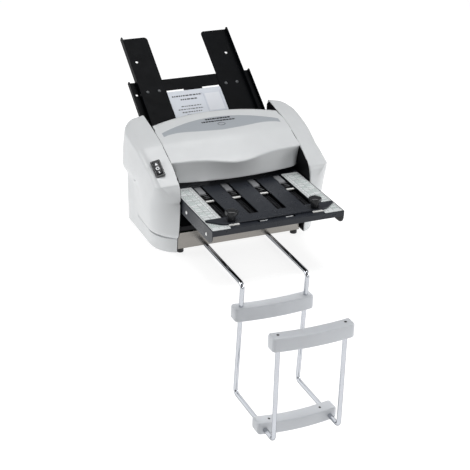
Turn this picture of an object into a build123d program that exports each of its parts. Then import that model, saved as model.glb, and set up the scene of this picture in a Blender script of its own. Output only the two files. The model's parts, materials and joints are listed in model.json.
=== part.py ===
"""Desktop letter folding machine with an over-the-edge wire catch basket.

Millimetres, +Z up, the front faces -Y.  The origin is the centre of the base pan's underside;
the machine stands on rubber feet that reach FOOT_HEIGHT below it.
"""
from build123d import *
from math import atan2, cos, degrees, radians, sin, sqrt
import os

os.makedirs("parts", exist_ok=True)

# ---------------------------------------------------------------- driving dimensions
FRAME_IN = 124.0            # inner face of each side frame, from the centre plane
FRAME_T = 2.0
SEAM_X = FRAME_IN + FRAME_T + 0.3      # inner edge of each plastic side cover
COVER_X = 171.0             # widest point of the side covers
COVER_WALL = 2.5
FACET_DROP = 10.0           # how far the covers' top falls from the seam to the outside
FOOT_HEIGHT = 8.0
PAN_HALF_X = 121.0
PAN_FRONT = -80.0
PAN_REAR = 84.0
PAN_WALL = 31.5
SHEET = 1.5                 # thickness of most sheet-metal parts

TABLE_TOP = 108.5           # upper face of the front fold table
TABLE_HALF_X = 123.0
TABLE_FRONT = -245.0
TABLE_REAR = -16.0
TABLE_DEPTH = 26.0          # height of the table's side flanges
SLOT_X = (-77.5, -26.5, 26.5, 77.5)
SLOT_WIDTH = 18.0
KNOB_X = 78.0
KNOB_Y = -220.5
KNOB_RISE = 11.0            # stem height under the clamp knobs' caps
KNOB_CAP = 7.6              # thickness of the caps

HOPPER_RISE = 0.7           # the hopper rises this much per unit of run to the back
HOPPER_MARK = (154.7, 216.0)           # (y, z) of the rivet line, on the paper surface
HOPPER_TOP_Y = 175.5
ARM_TOP_Y = 259.0
ARM_INNER = 55.5
ARM_OUTER = 109.0

ROLL_R = 12.0               # pitch radius of the fold rollers and of their gears
ROLLER_1 = (0.0, 114.8)     # (y, z) of each roller's axis
ROLLER_2 = (0.0, ROLLER_1[1] - 2 * ROLL_R)
ROLLER_3 = (-2 * ROLL_R, ROLLER_2[1])
ROLLER_4 = (-2 * ROLL_R, ROLLER_2[1] - 2 * ROLL_R)
ROLL_GAP = 0.2              # each roller's surface stays this far inside its pitch circle
FEED_TEETH = 60
FOLD_TEETH = 24
DRIVE_TEETH = 72
PINION_TEETH = 15
FEED_REACH = (FEED_TEETH + FOLD_TEETH) / 2      # centre distance at module 1
FEED_Z = 118.4
FEED = (sqrt(FEED_REACH**2 - (FEED_Z - ROLLER_1[1]) ** 2), FEED_Z)
MOTOR_REACH = (DRIVE_TEETH + PINION_TEETH) / 2
MOTOR_Z = 26.0
MOTOR = (ROLLER_4[0] - sqrt(MOTOR_REACH**2 - (ROLLER_4[1] - MOTOR_Z) ** 2), MOTOR_Z)
SHAFT_R = 4.0
RUN = 0.05                  # radial running clearance of shafts and pivots
GEAR_X = FRAME_IN + FRAME_T + 2.5      # inner face of the roller gears
GEAR_W = 6.0
DRIVE_X = GEAR_X + GEAR_W + 2.5        # inner face of the motor's gear pair

REAR_SLOPE = 15.0           # the rear fold table falls this many degrees to the back
REAR_MOUTH = (-9.0, 77.0)   # (y, z) of its upper plate's front edge
REAR_LENGTH = 180.0
REAR_HALF_X = 108.0

WIRE_R = 3.9
WIRE_X = 62.0
WIRE_Z = WIRE_R - FOOT_HEIGHT
BEND_Y = -238.0             # the wires turn down over the table's edge here
BASKET_BACK = (-220.1, -230.6)         # (y, z) of the basket's lower back corners
BASKET_FRONT_Y = -383.8
WIRE_TOP = (-385.8, -27.5)
BAR_LENGTH = 151.0
BAR_ALONG = 26.5            # the crossbars' size along the wires
BAR_ACROSS = 23.5
BAR_BOW = 6.0


def save(builder, name):
    """Label a finished piece and write its STEP file."""
    builder.part.label = name
    export_step(builder.part, f"parts/{name}.step")


def at_x(x):
    """Side view plane at x: sketch x is the model's Y, sketch y is its Z."""
    return Plane.YZ.offset(x)


# ---------------------------------------------------------------- side view of the machine
def seam_profile(inset, drop):
    """Outline of the side covers and frames in side view, moved inwards by inset."""
    top = drop + inset
    Polyline((-91 + inset, inset), (-93 + inset, 27), (-100 + inset, 38))
    Spline(
        (-100 + inset, 38), (-104 + inset, 70), (-106 + inset, 98),
        (-105.5 + inset, 118 - 0.6 * top), (-98 + 0.8 * inset, 136.5 - top),
        (-85 + 0.4 * inset, 145.5 - top),
    )
    Spline(
        (-85 + 0.4 * inset, 145.5 - top), (-53, 163 - top), (-9, 180.5 - top),
        (45, 193 - top), (78 - inset, 199.2 - top),
    )
    Polyline((78 - inset, 199.2 - top), (88 - inset, 192 - top), (88 - inset, inset),
             (-91 + inset, inset))


def cover_plan(front, turn, outer_front, outer_rear, rear, inset):
    """Outline of a side cover seen from above; turn is the depth of its rounded front."""
    corner = 20.0
    x_front = outer_front - inset
    x_rear = outer_rear - inset
    wide = x_front - SEAM_X
    start = (SEAM_X - 2, front + inset)
    Bezier(start, (SEAM_X + 0.55 * wide, front + inset + 1),
           (x_front, front + 0.35 * turn), (x_front, front + turn))
    Line((x_front, front + turn), (x_rear, rear - inset - corner))
    RadiusArc((x_rear, rear - inset - corner), (x_rear - corner, rear - inset), -corner)
    Polyline((x_rear - corner, rear - inset), (SEAM_X - 2, rear - inset), start)


COVER_LEVELS = (
    # bottom, top, front, turn, outer width at the front, at the rear, rear
    (-1.0, 29.0, -93.0, 55.0, 160.0, 158.0, 80.0),
    (29.0, 97.0, -106.5, 52.0, 168.0, 161.0, 82.0),
    (97.0, 210.0, -107.5, 50.0, COVER_X, COVER_X, 89.5),
)


def cover_block(inset, seam):
    """The right side cover's outer form, moved inwards by inset, from x = seam outwards."""
    with BuildPart() as block:
        with BuildSketch(at_x(seam)):
            with BuildLine():
                seam_profile(inset, 0)
            make_face()
        with BuildSketch(at_x(COVER_X - inset)):
            with BuildLine():
                seam_profile(inset, FACET_DROP)
            make_face()
        loft(ruled=True)
        for bottom, top, front, turn, outer_front, outer_rear, rear in COVER_LEVELS:
            with BuildSketch(Plane.XY.offset(bottom)):
                with Locations((150, 0)):
                    Rectangle(120, 320)
                with BuildLine(mode=Mode.PRIVATE) as plan:
                    cover_plan(front, turn, outer_front, outer_rear, rear, inset)
                make_face(plan.edges(), mode=Mode.SUBTRACT)
            extrude(amount=top - bottom, mode=Mode.SUBTRACT)
    return block.part


with BuildPart() as right_side_cover:
    add(cover_block(0, SEAM_X))
    add(cover_block(COVER_WALL, SEAM_X - 1), mode=Mode.SUBTRACT)
save(right_side_cover, "right_side_cover")

# The switch sits on the left cover's top, which falls to the front and outwards.
SWITCH_AT = (-151.5, -63.0, 153.2)
SWITCH_TILT = 27.0
SWITCH_LEAN = -15.0
switch_plane = Plane(origin=SWITCH_AT, x_dir=(1, 0, 0), z_dir=(0, 0, 1))
switch_plane = switch_plane.rotated((SWITCH_TILT, SWITCH_LEAN, 0))
BEZEL = (17.0, 36.0)
SWITCH_HOLE = (15.0, 33.5)
ROCKER = (11.0, 28.0)

with BuildPart() as left_side_cover:
    add(mirror(right_side_cover.part, about=Plane.YZ))
    with BuildSketch(switch_plane.offset(-12)):
        Rectangle(*SWITCH_HOLE)
    extrude(amount=24, mode=Mode.SUBTRACT)
save(left_side_cover, "left_side_cover")

with BuildPart() as switch_bezel:
    with BuildSketch(switch_plane.offset(1.2)):
        RectangleRounded(*BEZEL, 1.5)
    extrude(amount=1.6)
    with BuildSketch(switch_plane.offset(1.2)):
        Rectangle(SWITCH_HOLE[0] - 0.4, SWITCH_HOLE[1] - 0.4)
    extrude(amount=-20)
    with BuildSketch(switch_plane.offset(-16)):
        Rectangle(*ROCKER)
    extrude(amount=20, mode=Mode.SUBTRACT)
save(switch_bezel, "switch_bezel")

with BuildPart() as switch_rocker:
    with BuildSketch(Plane(origin=SWITCH_AT, x_dir=switch_plane.y_dir,
                           z_dir=switch_plane.x_dir).offset(-ROCKER[0] / 2 + 0.3)):
        with BuildLine():
            Polyline((-13, 3), (-13, 0.2), (-3, -8), (3, -8), (13, 0.2), (13, 3))
            ThreePointArc((13, 3), (0, 1.6), (-13, 3))
        make_face()
    extrude(amount=ROCKER[0] - 0.6)
save(switch_rocker, "switch_rocker")


# ---------------------------------------------------------------- base, frames, fixed metalwork
PAN_NECK = PAN_FRONT + 8    # the pan is narrower in front of the side frames' feet
PAN_LIP = 5.0
with BuildPart() as base_pan:
    with BuildSketch(Plane.XY):
        with Locations((0, (PAN_NECK + PAN_REAR) / 2)):
            Rectangle(2 * FRAME_IN, PAN_REAR - PAN_NECK)
        with Locations((0, (PAN_FRONT + PAN_NECK) / 2)):
            Rectangle(2 * PAN_HALF_X, PAN_NECK - PAN_FRONT)
    extrude(amount=SHEET)
    with Locations((0, PAN_FRONT + SHEET / 2, PAN_WALL / 2)):
        Box(2 * PAN_HALF_X, SHEET, PAN_WALL)
    with Locations((0, PAN_REAR - SHEET / 2, PAN_LIP / 2)):
        Box(2 * FRAME_IN, SHEET, PAN_LIP)
    front_edges = base_pan.edges().filter_by(Axis.X).group_by(Axis.Y)[0].group_by(Axis.Z)[0]
    fillet(front_edges, 1.4)
save(base_pan, "base_pan")

FOOT_AT = (116.0, 76.0)
with BuildPart() as rubber_feet:
    with BuildSketch(Plane.XY):
        with GridLocations(2 * FOOT_AT[0] - 6, 2 * FOOT_AT[1] - 6, 2, 2):
            Circle(6.5)
    extrude(amount=-FOOT_HEIGHT, taper=4)
save(rubber_feet, "rubber_feet")

BORE_R = 8.0
AXES = (ROLLER_1, ROLLER_2, ROLLER_3, ROLLER_4, FEED)
TIE_RODS = ((-70.0, 20.0), (60.0, 15.0), (22.0, 152.0), (-38.0, 141.0), (11.0, 58.4))
HOOD_PIVOT = (36.0, 180.0)
PEG_R = 3.0


def side_frame(side):
    """One steel side plate; side is 1 for the right and -1 for the left."""
    with BuildPart() as plate:
        with BuildSketch(at_x(side * FRAME_IN)):
            with BuildLine():
                seam_profile(1.5, 0)
            make_face()
            with Locations(*AXES):
                Circle(BORE_R, mode=Mode.SUBTRACT)
            with Locations(*TIE_RODS):
                Circle(2.2, mode=Mode.SUBTRACT)
            with Locations(HOOD_PIVOT):
                Circle(PEG_R + RUN, mode=Mode.SUBTRACT)
            with Locations(MOTOR):
                Circle(9.0, mode=Mode.SUBTRACT)
        extrude(amount=side * FRAME_T)
    return plate


right_side_frame = side_frame(1)
save(right_side_frame, "right_side_frame")
left_side_frame = side_frame(-1)
save(left_side_frame, "left_side_frame")

ROD_R = 4.0
with BuildPart() as tie_rods:
    with BuildSketch(at_x(-FRAME_IN)):
        with Locations(*TIE_RODS):
            Circle(ROD_R)
    extrude(amount=2 * FRAME_IN)
    with BuildSketch(at_x(-FRAME_IN)):
        with Locations(*TIE_RODS):
            Circle(2.0)
    extrude(amount=12, mode=Mode.SUBTRACT)
    with BuildSketch(at_x(FRAME_IN)):
        with Locations(*TIE_RODS):
            Circle(2.0)
    extrude(amount=-12, mode=Mode.SUBTRACT)
save(tie_rods, "tie_rods")

with BuildPart() as frame_screws:
    for side in (-1, 1):
        with BuildSketch(at_x(side * (FRAME_IN + FRAME_T))):
            with Locations(*TIE_RODS):
                RegularPolygon(3.6, 6)
        extrude(amount=side * 2.2)
        with BuildSketch(at_x(side * (FRAME_IN + FRAME_T))):
            with Locations(*TIE_RODS):
                Circle(1.95)
        extrude(amount=-side * 12)
save(frame_screws, "frame_screws")

with BuildPart() as bearings:
    for side in (-1, 1):
        with BuildSketch(at_x(side * (FRAME_IN - 1))):
            with Locations(*AXES):
                Circle(BORE_R + 1.5)
        extrude(amount=side * 1)
        with BuildSketch(at_x(side * FRAME_IN)):
            with Locations(*AXES):
                Circle(BORE_R)
        extrude(amount=side * 4)
        with BuildSketch(at_x(side * (FRAME_IN - 1))):
            with Locations(*AXES):
                Circle(SHAFT_R + RUN)
        extrude(amount=side * 5, mode=Mode.SUBTRACT)
save(bearings, "bearings")

with BuildPart() as rear_cover:
    with BuildSketch(Plane.XZ.offset(-PAN_REAR - 2)):
        with Locations((0, 77.8)):
            Rectangle(2 * FRAME_IN - 1, 152)
        with Locations((0, 48.2)):
            Rectangle(2 * REAR_HALF_X + 3, 17, mode=Mode.SUBTRACT)
        with Locations((-80, 22)):
            Rectangle(28, 20.4, mode=Mode.SUBTRACT)
        with Locations((20, 110)):
            with GridLocations(9, 30, 8, 2):
                SlotOverall(24, 3.5, rotation=90, mode=Mode.SUBTRACT)
    extrude(amount=2)
save(rear_cover, "rear_cover")

with BuildPart() as power_inlet:
    with BuildSketch(Plane.XZ.offset(-PAN_REAR - 2)):
        with Locations((-80, 22)):
            RectangleRounded(32, 24, 2)
    extrude(amount=-1.6)
    with BuildSketch(Plane.XZ.offset(-PAN_REAR - 2)):
        with Locations((-80, 22)):
            Rectangle(27.6, 20)
    extrude(amount=16)
    with BuildSketch(Plane.XZ.offset(-PAN_REAR - 4)):
        with Locations((-80, 22)):
            RectangleRounded(23, 15.5, 3)
    extrude(amount=15, mode=Mode.SUBTRACT)
    for pin_x, pin_z in ((-87, 21), (-80, 25), (-73, 21)):
        with Locations((pin_x, PAN_REAR - 6, pin_z)):
            Box(2, 14, 4)
save(power_inlet, "power_inlet")

BOARD_AT = (-72.0, -15.0)
with BuildPart() as circuit_board:
    with BuildSketch(Plane.XY.offset(9)):
        with Locations(BOARD_AT):
            Rectangle(70, 80)
    extrude(amount=1.6)
    with BuildSketch(Plane.XY.offset(SHEET)):
        with Locations(BOARD_AT):
            with GridLocations(60, 70, 2, 2):
                Circle(2.5)
    extrude(amount=9 - SHEET)
    for part_x, part_y, wide, deep, high in (
        (-95, 5, 16, 22, 18), (-70, 8, 22, 20, 16), (-50, -5, 10, 26, 14),
        (-88, -32, 18, 14, 9), (-60, -36, 20, 10, 7),
    ):
        with Locations((part_x, part_y, 10.6 + high / 2)):
            Box(wide, deep, high)
save(circuit_board, "circuit_board")

MOTOR_R = 21.0
with BuildPart() as motor:
    with BuildSketch(at_x(FRAME_IN)):
        with Locations(MOTOR):
            Circle(MOTOR_R)
    extrude(amount=-62)
    fillet(motor.faces().sort_by(Axis.X)[0].edges(), 3)
    with BuildSketch(at_x(FRAME_IN - 62)):
        with Locations(MOTOR):
            Circle(9)
    extrude(amount=-5)
    with BuildSketch(at_x(FRAME_IN)):
        with Locations(MOTOR):
            Circle(2.5 + RUN)
    extrude(amount=-30, mode=Mode.SUBTRACT)
save(motor, "motor")

with BuildPart() as exit_chute:
    with BuildSketch(at_x(-FRAME_IN + 1)):
        with BuildLine():
            offset(Polyline((-40, 60), (-66, 46), (-77.5, 42), (-77.5, 34)), amount=0.6,
                   side=Side.BOTH)
        make_face()
    extrude(amount=2 * FRAME_IN - 2)
save(exit_chute, "exit_chute")

RAIL_TOP = TABLE_TOP - TABLE_DEPTH - 0.2
RAIL_START = 36.0           # the rails' rear ends are this far in front of the origin
with BuildPart() as table_rails:
    for side in (-1, 1):
        with BuildSketch(Plane.XZ.offset(RAIL_START)):
            with Locations((side * (FRAME_IN - 4), RAIL_TOP - SHEET / 2)):
                Rectangle(8, SHEET)
            with Locations((side * (FRAME_IN - 0.75), RAIL_TOP - 5)):
                Rectangle(SHEET, 10)
        extrude(amount=50)
save(table_rails, "table_rails")


# ---------------------------------------------------------------- hopper
hopper_normal = (0, -HOPPER_RISE, 1)
hopper_plane = Plane(origin=(0, *HOPPER_MARK), x_dir=(1, 0, 0), z_dir=hopper_normal)
SLOPE_LENGTH = sqrt(1 + HOPPER_RISE**2)


def up_slope(y):
    """Distance along the hopper, from its rivet line, of the place above y."""
    return (y - HOPPER_MARK[0]) * SLOPE_LENGTH


ARM_T = 1.2
TRAY_HALF_X = 123.2
TRAY_RISE = 6.5             # how far its side flanges stand up
TRAY_CORNER = 4.0
TYRE_X = 36.0
tray_low = up_slope(17)
tray_high = up_slope(HOPPER_TOP_Y)
arm_low = up_slope(64)
arm_high = up_slope(ARM_TOP_Y)
WINDOW_X = (-36.5, 36.0)

with BuildPart() as hopper_tray:
    with BuildSketch(hopper_plane.offset(-ARM_T - SHEET)):
        with Locations((0, (tray_low + tray_high) / 2)):
            Rectangle(2 * TRAY_HALF_X, tray_high - tray_low)
        with Locations(*[(x, up_slope(152.6)) for x in WINDOW_X]):
            Rectangle(35, 4.4, mode=Mode.SUBTRACT)
        with Locations(*[(side * 113.5, up_slope(152)) for side in (-1, 1)]):
            Circle(2.4, mode=Mode.SUBTRACT)
        with Locations(*[(side * TYRE_X, up_slope(34)) for side in (-1, 1)]):
            Rectangle(22, 28, mode=Mode.SUBTRACT)
    extrude(amount=SHEET)
    for side in (-1, 1):
        with BuildSketch(Plane(origin=(side * TRAY_HALF_X, *HOPPER_MARK),
                               x_dir=hopper_plane.y_dir, z_dir=(1, 0, 0))):
            with BuildLine():
                Polyline((up_slope(60), -2), (tray_high, -2), (tray_high, TRAY_RISE - TRAY_CORNER))
                RadiusArc((tray_high, TRAY_RISE - TRAY_CORNER), (tray_high - TRAY_CORNER, TRAY_RISE),
                          -TRAY_CORNER)
                Polyline((tray_high - TRAY_CORNER, TRAY_RISE), (up_slope(70), TRAY_RISE),
                         (up_slope(60), -2))
            make_face()
        extrude(amount=-side * SHEET)
save(hopper_tray, "hopper_tray")


def hopper_arm(side):
    """One paper support arm with a raised outer flange."""
    with BuildPart() as arm:
        with BuildSketch(hopper_plane.offset(-ARM_T)):
            with BuildLine():
                Polyline((side * ARM_OUTER, arm_low), (side * ARM_OUTER, arm_high),
                         (side * (ARM_INNER + 8), arm_high))
                Bezier((side * (ARM_INNER + 8), arm_high), (side * ARM_INNER, arm_high),
                       (side * ARM_INNER, arm_high - 8))
                Polyline((side * ARM_INNER, arm_high - 8), (side * ARM_INNER, arm_low),
                         (side * ARM_OUTER, arm_low))
            make_face()
            with Locations((side * 92, up_slope(213))):
                Circle(2.6, mode=Mode.SUBTRACT)
        extrude(amount=ARM_T)
        with BuildSketch(Plane(origin=(side * ARM_OUTER, *HOPPER_MARK),
                               x_dir=hopper_plane.y_dir, z_dir=(1, 0, 0))):
            with BuildLine():
                Polyline((arm_low, -ARM_T), (arm_high, -ARM_T), (arm_high, 7),
                         (arm_high - 4, 11), (arm_low, 11), (arm_low, -ARM_T))
            make_face()
        extrude(amount=-side * ARM_T)
    return arm


left_hopper_arm = hopper_arm(-1)
save(left_hopper_arm, "left_hopper_arm")
right_hopper_arm = hopper_arm(1)
save(right_hopper_arm, "right_hopper_arm")

with BuildPart() as hopper_rivets:
    with BuildSketch(hopper_plane):
        with Locations((-91.3, 0), (-68.2, 0), (68.2, 0), (91.3, 0)):
            Circle(3.2)
    extrude(amount=1.2, taper=25)
save(hopper_rivets, "hopper_rivets")

label_low = up_slope(64)
label_high = up_slope(150.6)
with BuildPart() as hopper_label:
    with BuildSketch(hopper_plane.offset(-ARM_T)):
        with Locations((0, (label_low + label_high) / 2)):
            Rectangle(2 * ARM_INNER - 2, label_high - label_low)
    extrude(amount=0.4)
save(hopper_label, "hopper_label")

with BuildPart() as feed_guide:
    with BuildSketch(at_x(-112)):
        with BuildLine():
            offset(Polyline((9.5, 101.6), (17.5, 114.4), (22.5, 119.4)), amount=0.4,
                   side=Side.BOTH)
        make_face()
    extrude(amount=224)
save(feed_guide, "feed_guide")

with BuildPart() as separator_pad:
    for side in (-1, 1):
        with BuildSketch(hopper_plane.offset(0.4)):
            with Locations((side * TYRE_X, up_slope(34))):
                Rectangle(20, 12)
        extrude(amount=4)
save(separator_pad, "separator_pad")

with BuildPart() as separator_bracket:
    with BuildSketch(hopper_plane.offset(4.4)):
        with Locations((0, up_slope(34))):
            Rectangle(2 * TYRE_X + 24, 14)
    extrude(amount=1.5)
    with BuildSketch(at_x(-18)):
        with BuildLine():
            offset(Polyline((31.5, 137.5), (26.8, 145), (26.8, 158)), amount=0.75,
                   side=Side.BOTH)
        make_face()
    extrude(amount=36)
save(separator_bracket, "separator_bracket")


# ---------------------------------------------------------------- hood
HOOD_HALF_X = 123.2
HOOD_LIP = 117.0
HOOD_REAR = (64.0, 42.0)    # rear edge: y at the centre, y at the ends
HOOD_BROW = 163.0           # height of the reference outline of the wavy brow
HOOD_WALL = 2.6


def hood_outline(inset, wave):
    """Plan view of the hood; wave lists the front edge's y at the centre, mid and ends."""
    half = HOOD_HALF_X
    mid_y, shoulder_y, end_y = [y + inset for y in wave]
    Spline((-half, end_y), (-90, shoulder_y), (0, mid_y), (90, shoulder_y), (half, end_y))
    Line((half, end_y), (half, HOOD_REAR[1] - inset))
    ThreePointArc((half, HOOD_REAR[1] - inset), (0, HOOD_REAR[0] - inset),
                  (-half, HOOD_REAR[1] - inset))
    Line((-half, HOOD_REAR[1] - inset), (-half, end_y))


def hood_block(inset, bottom):
    """The hood's outer form, moved inwards by inset."""
    with BuildPart() as block:
        for height, wave in ((HOOD_LIP, (-66, -60, -50)), (HOOD_BROW, (-74.5, -61.5, -59))):
            with BuildSketch(Plane.XY.offset(height)):
                with BuildLine():
                    hood_outline(inset, wave)
                make_face()
        loft(ruled=True)
        with BuildSketch(Plane.XY.offset(HOOD_BROW)):
            with BuildLine():
                hood_outline(inset, (-74.5, -61.5, -59))
            make_face()
        extrude(amount=45)
        if bottom < HOOD_LIP:
            with BuildSketch(Plane.XY.offset(HOOD_LIP)):
                with BuildLine():
                    hood_outline(inset, (-66, -60, -50))
                make_face()
            extrude(amount=bottom - HOOD_LIP)
        with BuildSketch(at_x(-HOOD_HALF_X)):
            with BuildLine():
                Spline((-90, 140.5 - inset), (-53, 163 - inset), (-9, 180.5 - inset),
                       (45, 194.5 - inset), (80, 201 - inset))
                Polyline((80, 201 - inset), (80, bottom), (-90, bottom), (-90, 140.5 - inset))
            make_face()
        extrude(amount=2 * HOOD_HALF_X, mode=Mode.INTERSECT)
    return block.part


with BuildPart() as lens_prism:
    with BuildSketch(Plane.XY.offset(170)):
        with BuildLine():
            ThreePointArc((-117, 17.5), (0, 45), (117, 17.5))
            Line((117, 17.5), (116, 4))
            Spline((116, 4), (78, 10), (0, 2), (-78, 10), (-116, 4))
            Line((-116, 4), (-117, 17.5))
        make_face()
    extrude(amount=40)

hood_outer = hood_block(0, HOOD_LIP)
PANEL_T = 1.0
with BuildPart() as hood_panel:
    add(hood_outer)
    add(hood_block(PANEL_T, HOOD_LIP - 1), mode=Mode.SUBTRACT)
    add(lens_prism.part, mode=Mode.INTERSECT)
save(hood_panel, "hood_panel")

with BuildPart() as hood_cover:
    add(hood_outer)
    add(hood_block(HOOD_WALL, HOOD_LIP - 5), mode=Mode.SUBTRACT)
    add(hood_panel.part, mode=Mode.SUBTRACT)
    with Locations((0, 60, 150)):
        Box(400, 60, 74, mode=Mode.SUBTRACT)
    for side in (-1, 1):
        with BuildSketch(at_x(side * (HOOD_HALF_X - 2.5))):
            with BuildLine():
                Polyline((HOOD_PIVOT[0] - 5, 192), (HOOD_PIVOT[0] - 5, HOOD_PIVOT[1]))
                RadiusArc((HOOD_PIVOT[0] - 5, HOOD_PIVOT[1]), (HOOD_PIVOT[0] + 5, HOOD_PIVOT[1]), -5)
                Polyline((HOOD_PIVOT[0] + 5, HOOD_PIVOT[1]), (HOOD_PIVOT[0] + 5, 192),
                         (HOOD_PIVOT[0] - 5, 192))
            make_face()
        extrude(amount=side * 2.5)
        with BuildSketch(at_x(side * (HOOD_HALF_X - 2.5))):
            with Locations(HOOD_PIVOT):
                Circle(PEG_R)
        extrude(amount=side * 5)
save(hood_cover, "hood_cover")


# ---------------------------------------------------------------- rollers, gears and drive
def turned(name, axis, spans):
    """Write a piece turned about an X-parallel axis; spans are (from x, to x, radius)."""
    with BuildPart() as piece:
        for start, end, radius in spans:
            with BuildSketch(at_x(start)):
                with Locations(axis):
                    Circle(radius)
            extrude(amount=end - start)
    save(piece, name)
    return piece


ROLL_HALF = 112.0
SHAFT_END = GEAR_X + GEAR_W + 1
roll_surface = ROLL_R - ROLL_GAP
for name, axis in (("fold_roller_1", ROLLER_1), ("fold_roller_3", ROLLER_3)):
    turned(name, axis, ((-FRAME_IN - 8, SHAFT_END, SHAFT_R), (-ROLL_HALF, ROLL_HALF, roll_surface)))


def sleeve(name, axis, spans, radius):
    """Write rubber sleeves, bored for the shaft; spans are (from x, to x)."""
    with BuildPart() as piece:
        for start, end in spans:
            with BuildSketch(at_x(start)):
                with Locations(axis):
                    Circle(radius)
                    Circle(6.0, mode=Mode.SUBTRACT)
            extrude(amount=end - start)
    save(piece, name)


for number, axis, right_end in ((2, ROLLER_2, SHAFT_END), (4, ROLLER_4, DRIVE_X + GEAR_W + 1)):
    turned(f"fold_shaft_{number}", axis,
           ((-FRAME_IN - 8, right_end, SHAFT_R), (-ROLL_HALF, ROLL_HALF, 6.0)))
    sleeve(f"fold_sleeve_{number}", axis, ((-ROLL_HALF + 2, ROLL_HALF - 2),), roll_surface)

turned("feed_shaft", FEED, ((-FRAME_IN - 8, SHAFT_END, SHAFT_R), (-60, 60, 6.0)))
sleeve("feed_tyres", FEED, ((-TYRE_X - 9, -TYRE_X + 9), (TYRE_X - 9, TYRE_X + 9)), 15.0)


def gear(name, axis, start, teeth, bore, turn):
    """Write a module 1 spur gear; turn is the angle in degrees of one tooth's centre."""
    pitch = teeth / 2
    tip = pitch + 0.9
    root = pitch - 1.15
    step = 360 / teeth
    with BuildPart() as wheel:
        with BuildSketch(at_x(start)):
            with Locations(axis):
                Circle(root)
            for index in range(teeth):
                middle = radians(turn + index * step)
                flank = []
                for radius, half_width in ((root - 0.3, 0.92), (pitch - 0.4, 0.86),
                                           (pitch, 0.70), (pitch + 0.45, 0.50), (tip, 0.26)):
                    flank.append((radius, half_width))
                outline = [(r, -w) for r, w in flank] + [(r, w) for r, w in reversed(flank)]
                points = [
                    (axis[0] + r * cos(middle) - w * sin(middle),
                     axis[1] + r * sin(middle) + w * cos(middle))
                    for r, w in outline
                ]
                with BuildLine():
                    Polyline(*points, close=True)
                make_face()
            with Locations(axis):
                Circle(bore, mode=Mode.SUBTRACT)
        extrude(amount=GEAR_W)
    save(wheel, name)


half_tooth = 180 / FOLD_TEETH
gear("roller_gear_1", ROLLER_1, GEAR_X, FOLD_TEETH, SHAFT_R, 0)
gear("roller_gear_2", ROLLER_2, GEAR_X, FOLD_TEETH, SHAFT_R, half_tooth)
gear("roller_gear_3", ROLLER_3, GEAR_X, FOLD_TEETH, SHAFT_R, 0)
gear("roller_gear_4", ROLLER_4, GEAR_X, FOLD_TEETH, SHAFT_R, half_tooth)


def meshed_turn(axis, teeth, partner, partner_teeth, partner_turn):
    """Angle of a tooth on a gear that meshes with its partner, from the line of centres."""
    toward = degrees(atan2(axis[1] - partner[1], axis[0] - partner[0]))
    step = 360 / partner_teeth
    phase = ((toward - partner_turn) / step) % 1
    return toward + 180 + (0.5 + phase) * 360 / teeth


gear("feed_gear", FEED, GEAR_X, FEED_TEETH, SHAFT_R,
     meshed_turn(FEED, FEED_TEETH, ROLLER_1, FOLD_TEETH, 0))
gear("drive_gear", ROLLER_4, DRIVE_X, DRIVE_TEETH, SHAFT_R, 0)
pinion_turn = meshed_turn(MOTOR, PINION_TEETH, ROLLER_4, DRIVE_TEETH, 0)
gear("motor_pinion", MOTOR, DRIVE_X, PINION_TEETH, 2.5, pinion_turn)
turned("motor_shaft", MOTOR, ((FRAME_IN - 28, DRIVE_X + GEAR_W + 2, 2.5),))


# ---------------------------------------------------------------- front fold table
slot_rear = -62.0
slot_front = -236.0
CHANNEL = 7.0               # gap between the two plates of the table

with BuildPart() as fold_table_top:
    with BuildSketch(Plane.XY.offset(TABLE_TOP - SHEET)):
        with Locations((0, (TABLE_FRONT + TABLE_REAR) / 2)):
            Rectangle(2 * TABLE_HALF_X, TABLE_REAR - TABLE_FRONT)
        with Locations(*[(x, (slot_front + slot_rear) / 2) for x in SLOT_X]):
            RectangleRounded(SLOT_WIDTH, slot_rear - slot_front, 1.5, mode=Mode.SUBTRACT)
    extrude(amount=SHEET)
    for side in (-1, 1):
        with BuildSketch(at_x(side * TABLE_HALF_X)):
            with BuildLine():
                Polyline((TABLE_FRONT + 20, TABLE_TOP - TABLE_DEPTH),
                         (TABLE_REAR - 24, TABLE_TOP - TABLE_DEPTH),
                         (TABLE_REAR - 24, TABLE_TOP - SHEET), (TABLE_FRONT, TABLE_TOP - SHEET),
                         (TABLE_FRONT, TABLE_TOP - 8))
                Bezier((TABLE_FRONT, TABLE_TOP - 8), (TABLE_FRONT, TABLE_TOP - TABLE_DEPTH),
                       (TABLE_FRONT + 20, TABLE_TOP - TABLE_DEPTH))
            make_face()
            with Locations((-129.4, 94), (-220.3, 94)):
                Circle(2.3, mode=Mode.SUBTRACT)
        extrude(amount=-side * SHEET)
    with BuildSketch(Plane.XZ.offset(-TABLE_FRONT)):
        with Locations((0, TABLE_TOP - 5)):
            Rectangle(2 * TABLE_HALF_X, 10)
    extrude(amount=-SHEET)
save(fold_table_top, "fold_table_top")

plate_top = TABLE_TOP - SHEET - CHANNEL
with BuildPart() as fold_table_bottom:
    with BuildSketch(Plane.XY.offset(plate_top - SHEET)):
        with Locations((0, (TABLE_FRONT + 3 - 38) / 2)):
            Rectangle(2 * (TABLE_HALF_X - SHEET - 0.1), -38 - TABLE_FRONT - 3)
    extrude(amount=SHEET)
save(fold_table_bottom, "fold_table_bottom")

with BuildPart() as scale_strips:
    with BuildSketch(Plane.XY.offset(TABLE_TOP)):
        with Locations((-104.5, -152), (104.5, -152)):
            Rectangle(33, 182)
    extrude(amount=0.3)
save(scale_strips, "scale_strips")

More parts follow.
